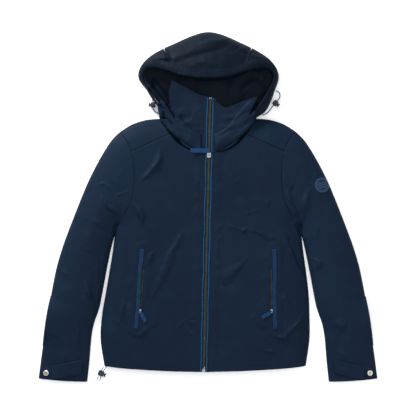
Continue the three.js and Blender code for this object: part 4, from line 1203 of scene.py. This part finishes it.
ZIP_LOW, ZIP_HIGH = (Vector((np.array(a) + np.array(b)) / 2) for a, b in
                     zip(spine("zip_teeth_left"), spine("zip_teeth_right")))
ZIP_AHEAD = (ZIP_HIGH - ZIP_LOW).normalized()
ZIP_ACROSS = ZIP_AHEAD.cross(Vector((0, 0, 1))).normalized()
TOOTH_PITCH = 2.9 * MM

for side, sign in SIDES.items():
    low, high = (Vector(end) for end in spine(f"zip_teeth_{side}"))
    shape = lozenge(4.0 * MM, 1.9 * MM, 2.5 * MM)
    head = lozenge(1.7 * MM, 2.4 * MM, 2.3 * MM)
    count = int((high - low).length / TOOTH_PITCH)
    teeth = []
    for k in range(count):
        ahead = (k + (0.25 if sign > 0 else 0.75)) * TOOTH_PITCH
        at = low + ZIP_AHEAD * ahead - ZIP_ACROSS * (sign * 0.35 * MM)
        teeth.append(placed(shape, at, ZIP_ACROSS))
        teeth.append(placed(head, at - ZIP_ACROSS * (sign * 1.5 * MM), ZIP_ACROSS))
    chain = joined(f"zip_chain_{side}", teeth, TEETH, "jacket")
    stop = placed(lozenge(6.5 * MM, 3.2 * MM, 2.6 * MM), high + ZIP_AHEAD * 1.2 * MM, ZIP_AHEAD)
    joined(f"zip_stop_{side}", [stop], METAL, "jacket")
    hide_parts(f"zip_teeth_{side}")

    low, high = spine(f"zip_tape_{side}")
    wide = 12.0 * MM
    weave = [(-wide / 2, -0.3 * MM), (wide / 2, -0.3 * MM), (wide / 2, 0.1 * MM)]
    weave += [(wide * (0.5 - i / 12), (0.3 if i % 2 else 0.16) * MM) for i in range(1, 12)]
    tape = strip(f"zip_tape_weave_{side}", low, high, [*weave, (-wide / 2, 0.1 * MM)], 6 * MM, TAPE, "jacket")
    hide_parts(f"zip_tape_{side}")
    declare_sheet(tape)

    low, high = (Vector(end) + ZIP_ACROSS * (sign * 0.4 * MM) for end in spine(f"piping_{side}"))
    wander = lambda t, s=sign: (0.5 * MM * math.sin(41 * t + s), 0.15 * MM * math.sin(63 * t))
    section = oval(3.0 * MM, 2.3 * MM, 12)
    bead = strip(f"piping_bead_{side}", low, high, section, 4 * MM, PIPING, "jacket", wander)
    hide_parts(f"piping_{side}")

# ---------- Pockets ----------


def coil(name, low, high, width, height, pitch, material, body):
    """A zip's spiral coil."""
    low, high = Vector(low), Vector(high)
    ahead = (high - low).normalized()
    across = ahead.cross(Vector((0, 0, 1))).normalized()
    turns = int((high - low).length / pitch)
    around = np.linspace(0, 2 * math.pi * turns, turns * 10 + 1)
    path = [low + ahead * (a / (2 * math.pi) * pitch) + across * (width / 2 * math.cos(a))
            + Vector((0, 0, height / 2 * math.sin(a))) for a in around]
    made = tube(name, path, 0.75 * MM, material)
    made.data.bevel_resolution = 1
    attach(made, body)
    return made


for side, sign in SIDES.items():
    low, high = (Vector(end) for end in spine(f"pocket_zip_{side}"))
    ahead = (high - low).normalized()
    across = ahead.cross(Vector((0, 0, 1))).normalized()
    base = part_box(f"pocket_zip_{side}")[1].z
    for end in (low, high):
        end.z = base - 0.7 * MM
    for k, off in enumerate((-1, 1)):
        aside = across * (off * 1.15 * MM)
        coil(f"pocket_coil_{side}_{'ab'[k]}", low + aside, high + aside, 1.9 * MM, 1.3 * MM, 1.5 * MM,
             TEETH, "jacket")
    tape_section = [(-9 * MM, -1.6 * MM), (9 * MM, -1.6 * MM), (9 * MM, -1.2 * MM), (1.2 * MM, -1.0 * MM),
                    (0, -1.15 * MM), (-1.2 * MM, -1.0 * MM), (-9 * MM, -1.2 * MM)]
    tape = strip(f"pocket_tape_{side}", low, high, tape_section, 4 * MM, TAPE, "jacket")
    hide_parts(f"pocket_zip_{side}")

    low, high = (Vector(end) for end in spine(f"pocket_binding_{side}"))
    section = oval(10.5 * MM, 1.3 * MM, 20, 5.0)
    wander = lambda t, s=sign: (
        0.9 * MM * math.sin(9 * t + s) + 0.4 * MM * math.sin(31 * t), 0.25 * MM * math.sin(47 * t))
    binding = strip(f"pocket_ribbon_{side}", low, high, section, 2.5 * MM, BINDING, "jacket", wander)
    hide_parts(f"pocket_binding_{side}")
    declare_sheet(binding)


def ribbon(name, node, material, body):
    """A folded ribbon pull: a woven strip, bulged a little along its length."""
    p = corners(node)
    middle = p.mean(0)
    axes = np.linalg.svd(p[:, :2] - middle[:2])[2]
    t, s = (p[:, :2] - middle[:2]) @ axes[0], (p[:, :2] - middle[:2]) @ axes[1]
    z = (p[:, 2].min() + p[:, 2].max()) / 2
    start = (*(middle[:2] + axes[0] * t.min()), z)
    end = (*(middle[:2] + axes[0] * t.max()), z)
    wide = s.max() - s.min()
    section = oval(wide, p[:, 2].max() - p[:, 2].min(), 22, 5.0)
    swell = lambda u: (0.2 * MM * math.sin(15 * u), 0.35 * MM * math.sin(math.pi * u))
    made = strip(name, start, end, section, 1.0 * MM, material, body, swell)
    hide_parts(node)
    return made


ribbon("pull_ribbon_weave", "pull_ribbon", TRIM, body_of("pull_ribbon"))
for side in SIDES:
    ribbon(f"pocket_pull_weave_{side}", f"pocket_pull_{side}", TRIM, body_of(f"pocket_pull_{side}"))

# ---------- Stitching ----------

SKINS = {name: BVHTree.FromPolygons([tuple(p) for p in points], [tuple(map(int, f)) for f in faces])
         for name, (points, faces) in ON_TOP.items()}


def dropped(points, skins, lift=0.0):
    """Plan points laid on the named upper skins; those that miss them are left out."""
    out = []
    for p in points:
        hits = [SKINS[s].ray_cast(Vector((p[0], p[1], 0.3)), Vector((0, 0, -1)))[0] for s in skins]
        hits = [h for h in hits if h]
        if hits:
            top = max(hits, key=lambda h: h.z)
            out.append((top.x, top.y, top.z + lift))
    return np.array(out)


def offset(path, distance):
    """A plan line moved sideways; a positive distance is to its left."""
    p = np.array(path, float)[:, :2]
    along = np.gradient(p, axis=0)
    normal = np.column_stack([-along[:, 1], along[:, 0]]) / (np.linalg.norm(along, axis=1)[:, None] + 1e-9)
    return p + normal * distance


STITCH = lozenge(2.6 * MM, 0.62 * MM, 0.55 * MM)


def stitched(name, lines, skins, body, material=None):
    """Rows of stitches along plan lines."""
    pieces = []
    for line in lines:
        on = dropped(evenly(np.array(line)[:, :2], 3.6 * MM), skins, 0.12 * MM)
        for a, b in zip(on, on[1:]):
            if np.linalg.norm(b - a) < 8 * MM:
                pieces.append(placed(STITCH, (a + b) / 2, b - a))
    if pieces:
        made = joined(name, pieces, material or THREAD, None)
        follow(made, body)


def run_of(loop, start, end):
    """The shorter run of a closed outline between the points nearest to start and end."""
    a = int(np.argmin(np.linalg.norm(loop[:, :2] - np.array(start) * MM, axis=1)))
    b = int(np.argmin(np.linalg.norm(loop[:, :2] - np.array(end) * MM, axis=1)))
    one = [(a + i) % len(loop) for i in range((b - a) % len(loop) + 1)]
    other = [(a - i) % len(loop) for i in range((a - b) % len(loop) + 1)]
    return loop[one if len(one) < len(other) else other]


def inward(loop, run, distance):
    """The run moved into the panel by a distance."""
    moved = offset(run, distance)
    return moved if inside(moved[len(moved) // 2][None], [loop])[0] else offset(run, -distance)


for side, sign in SIDES.items():
    panel, yoke, sleeve = (f"{part}_{side}" for part in ("front_panel", "front_yoke", "sleeve_upper"))
    loop = OUTLINES[panel][0]
    foot_x, top_x = ZIP_LOW.x / MM + sign * 9, ZIP_HIGH.x / MM + sign * 9
    hem = run_of(loop, (sign * 275, -431), (foot_x, -444))
    placket = run_of(loop, (foot_x, -444), (top_x, 146))
    seam = run_of(loop, (sign * 206, 150), (sign * 103, 197))
    armhole = run_of(loop, (sign * 206, 150), (sign * 222, -20))
    rows = [inward(loop, hem, d * MM) for d in (20, 23)]
    rows += [inward(loop, placket, d * MM) for d in (3, 11)]
    rows += [inward(loop, seam, d * MM) for d in (2.2, 7)] + [inward(loop, armhole, 2.2 * MM)]
    low, high = (np.array(end[:2]) for end in spine(f"pocket_zip_{side}"))
    ahead = (high - low) / np.linalg.norm(high - low)
    across = np.array([-ahead[1], ahead[0]])
    for off in (-6, 6 + 10):
        aside = across * (-sign * off * MM)
        side_line = [low - ahead * 10 * MM + aside, high + ahead * 10 * MM + aside]
        rows.append(np.array(side_line))
    stitched(f"front_stitching_{side}", rows, [panel], "jacket")
    yoke_loop = OUTLINES[yoke][0]
    seam = run_of(yoke_loop, (sign * 206, 150), (sign * 103, 197))
    stitched(f"yoke_stitching_{side}", [inward(yoke_loop, seam, 2.2 * MM)], [yoke], "jacket")
    loop = OUTLINES[sleeve][0]
    cuff = run_of(loop, (sign * 461, -466), (sign * 328, -475))
    seam = run_of(loop, (sign * 328, -475), (sign * 300, -285))
    long_seam = [inward(loop, run_of(loop, (sign * 328, -475), (sign * 263, -110)), 16 * MM)]
    stitched(f"sleeve_stitching_{side}", [inward(loop, cuff, d * MM) for d in (4, 22)] + long_seam,
             [sleeve], body_of(sleeve))
    tab = f"cuff_tab_{side}"
    low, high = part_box(tab)
    plan = [(low.x + 4 * MM, low.y + 13 * MM), (high.x - 4 * MM, low.y + 5 * MM),
            (high.x - 4 * MM, high.y - 17 * MM), (low.x + 4 * MM, high.y - 6 * MM)]
    if sign < 0:
        plan = [(low.x + high.x - x, y) for x, y in plan]
    stitched(f"cuff_stitching_{side}", [np.array([*plan, plan[0]])], [tab], body_of(tab))


def hem_binding():
    """The blue tape inside the hem, where it rolls into view."""
    loop = OUTLINES["front_panel_left"][0]
    hem = run_of(loop, (275, -431), (130, -444))
    path = evenly(hem[:, :2], 4 * MM) + (0, 1.2 * MM)
    points, faces = [], []
    along = np.gradient(path, axis=0)
    out = np.column_stack([along[:, 1], -along[:, 0]]) / np.linalg.norm(along, axis=1)[:, None]
    out *= np.sign(-out[:, 1:2])
    share = np.sin(np.pi * np.linspace(0, 1, len(path)))[:, None] ** 0.5
    section = [(0.5, 3.4), (3.6, 3.2), (4.6, 1.9), (3.6, 0.9), (0.5, 0.7)]
    for across, z in section:
        plan = path + out * across * MM * share
        points += [(x, y, z * MM) for x, y in plan]
    n, m = len(section), len(path)
    faces = [(i * m + j, (i + 1) % n * m + j, (i + 1) % n * m + j + 1, i * m + j + 1)
             for i in range(n) for j in range(m - 1)]
    make("hem_binding", points, faces, BINDING, "jacket")


hem_binding()

# ---------- Hard pieces that keep their own shape ----------

FINISHES = {"metal": METAL, "plastic": PLASTIC, "trim": TRIM, "teeth": TEETH}
for row in frame["record"]["subparts"]:
    node = row["node"]
    if NODES[node].hide_render:
        continue
    finish = FINISHES.get(row["material_slot"], METAL)
    if node.startswith("cuff_stud"):
        finish = snap_finish(node + " finish", node)
    mesh = NODES[node].data
    mesh.materials.clear()
    mesh.materials.append(finish)

# ---------- Badge ----------


def badge():
    """A round badge that follows the sleeve, with a raised rim and three waves."""
    low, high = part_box("sleeve_badge")
    cx, cy = (low.x + high.x) / 2, (low.y + high.y) / 2
    radius = 20 * MM
    rings, spokes = 26, 96
    plan, relief = [(cx, cy)], [0.0]
    for i in range(1, rings + 1):
        r = radius * i / rings
        for k in range(spokes):
            a = 2 * math.pi * k / spokes
            x, y = r * math.cos(a), r * math.sin(a)
            rim = math.exp(-(((r - 18.4 * MM) / (0.9 * MM)) ** 2))
            rim += 0.7 * math.exp(-(((r - 15.6 * MM) / (0.6 * MM)) ** 2))
            waves = 0.0
            if r < 13.5 * MM:
                for level in (-6, 0, 6):
                    crest = level * MM + 2.1 * MM * math.sin(x / (3.1 * MM) + level)
                    waves = max(waves, math.exp(-(((y - crest) / (1.0 * MM)) ** 2)))
            plan.append((cx + x, cy + y))
            relief.append(0.55 * MM * max(rim, waves) - (0.9 * MM if i == rings else 0))
    z = shell_height(np.array(plan)) + 0.9 * MM + np.array(relief)
    points = np.column_stack([np.array(plan), z])
    ids = lambda i, k: 1 + (i - 1) * spokes + k % spokes
    faces = [(0, ids(1, k), ids(1, k + 1)) for k in range(spokes)]
    faces += [(ids(i, k), ids(i + 1, k), ids(i + 1, k + 1), ids(i, k + 1))
              for i in range(1, rings) for k in range(spokes)]
    f = Finish("badge", Specular_IOR_Level=0.12)
    raised = f.node("ShaderNodeAttribute", out="Fac", attribute_name="raised")
    grain = f.speckle(380, 3.0)
    shade = f.mixed(raised.rounded(0.15, 0.75), rgb(20, 34, 52), rgb(40, 70, 104))
    f.set(Base_Color=f.mixed(grain * 0.35, shade, rgb(14, 24, 38)), Roughness=grain * 0.3 + 0.5,
          Normal=f.relief(grain, 0.2 * MM, 0.5))
    made = make("sleeve_badge_relief", points, faces, f.material)
    raised_by = made.data.attributes.new("raised", "FLOAT", "POINT")
    raised_by.data.foreach_set("value", np.clip(np.array(relief) / (0.55 * MM), 0, 1).astype(np.float32))
    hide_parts("sleeve_badge")
    follow(made, "sleeve_left")


badge()

# ---------- Floor and light ----------

floor_finish = Finish("paper floor", Specular_IOR_Level=0.1)
grain = floor_finish.speckle(60, 3.0)
floor_colour = floor_finish.mixed(grain, (0.97, 0.973, 0.976, 1), (0.985, 0.986, 0.988, 1))
floor_finish.set(Base_Color=floor_colour, Roughness=grain * 0.1 + 0.85)
FLOOR = 4.0
floor = make("floor", [(x * FLOOR, y * FLOOR, -0.3 * MM) for x, y in ((-1, -1), (1, -1), (1, 1), (-1, 1))],
             [(0, 1, 2, 3)], floor_finish.material)

world = bpy.data.worlds.new("studio")
world.use_nodes = True
world.node_tree.nodes["Background"].inputs[0].default_value = (0.95, 0.97, 1.0, 1)
world.node_tree.nodes["Background"].inputs[1].default_value = 0.85
bpy.context.scene.world = world


def softbox(name, place, aim, width, height, power, color=(1, 1, 1)):
    light = bpy.data.lights.new(name, "AREA")
    light.shape = "RECTANGLE"
    light.size, light.size_y, light.energy, light.color = width, height, power, color
    made = bpy.data.objects.new(name, light)
    made.location = place
    made.rotation_euler = (Vector(aim) - Vector(place)).to_track_quat("-Z", "Y").to_euler()
    bpy.context.scene.collection.objects.link(made)


softbox("key", (-1.6, 2.2, 1.0), (0, 0, 0), 0.7, 0.7, 150)
softbox("top", (0.3, 0.2, 3.4), (0, 0, 0), 2.4, 2.4, 40)
softbox("fill", (2.0, -1.6, 1.6), (0, 0, 0), 1.6, 1.6, 16)
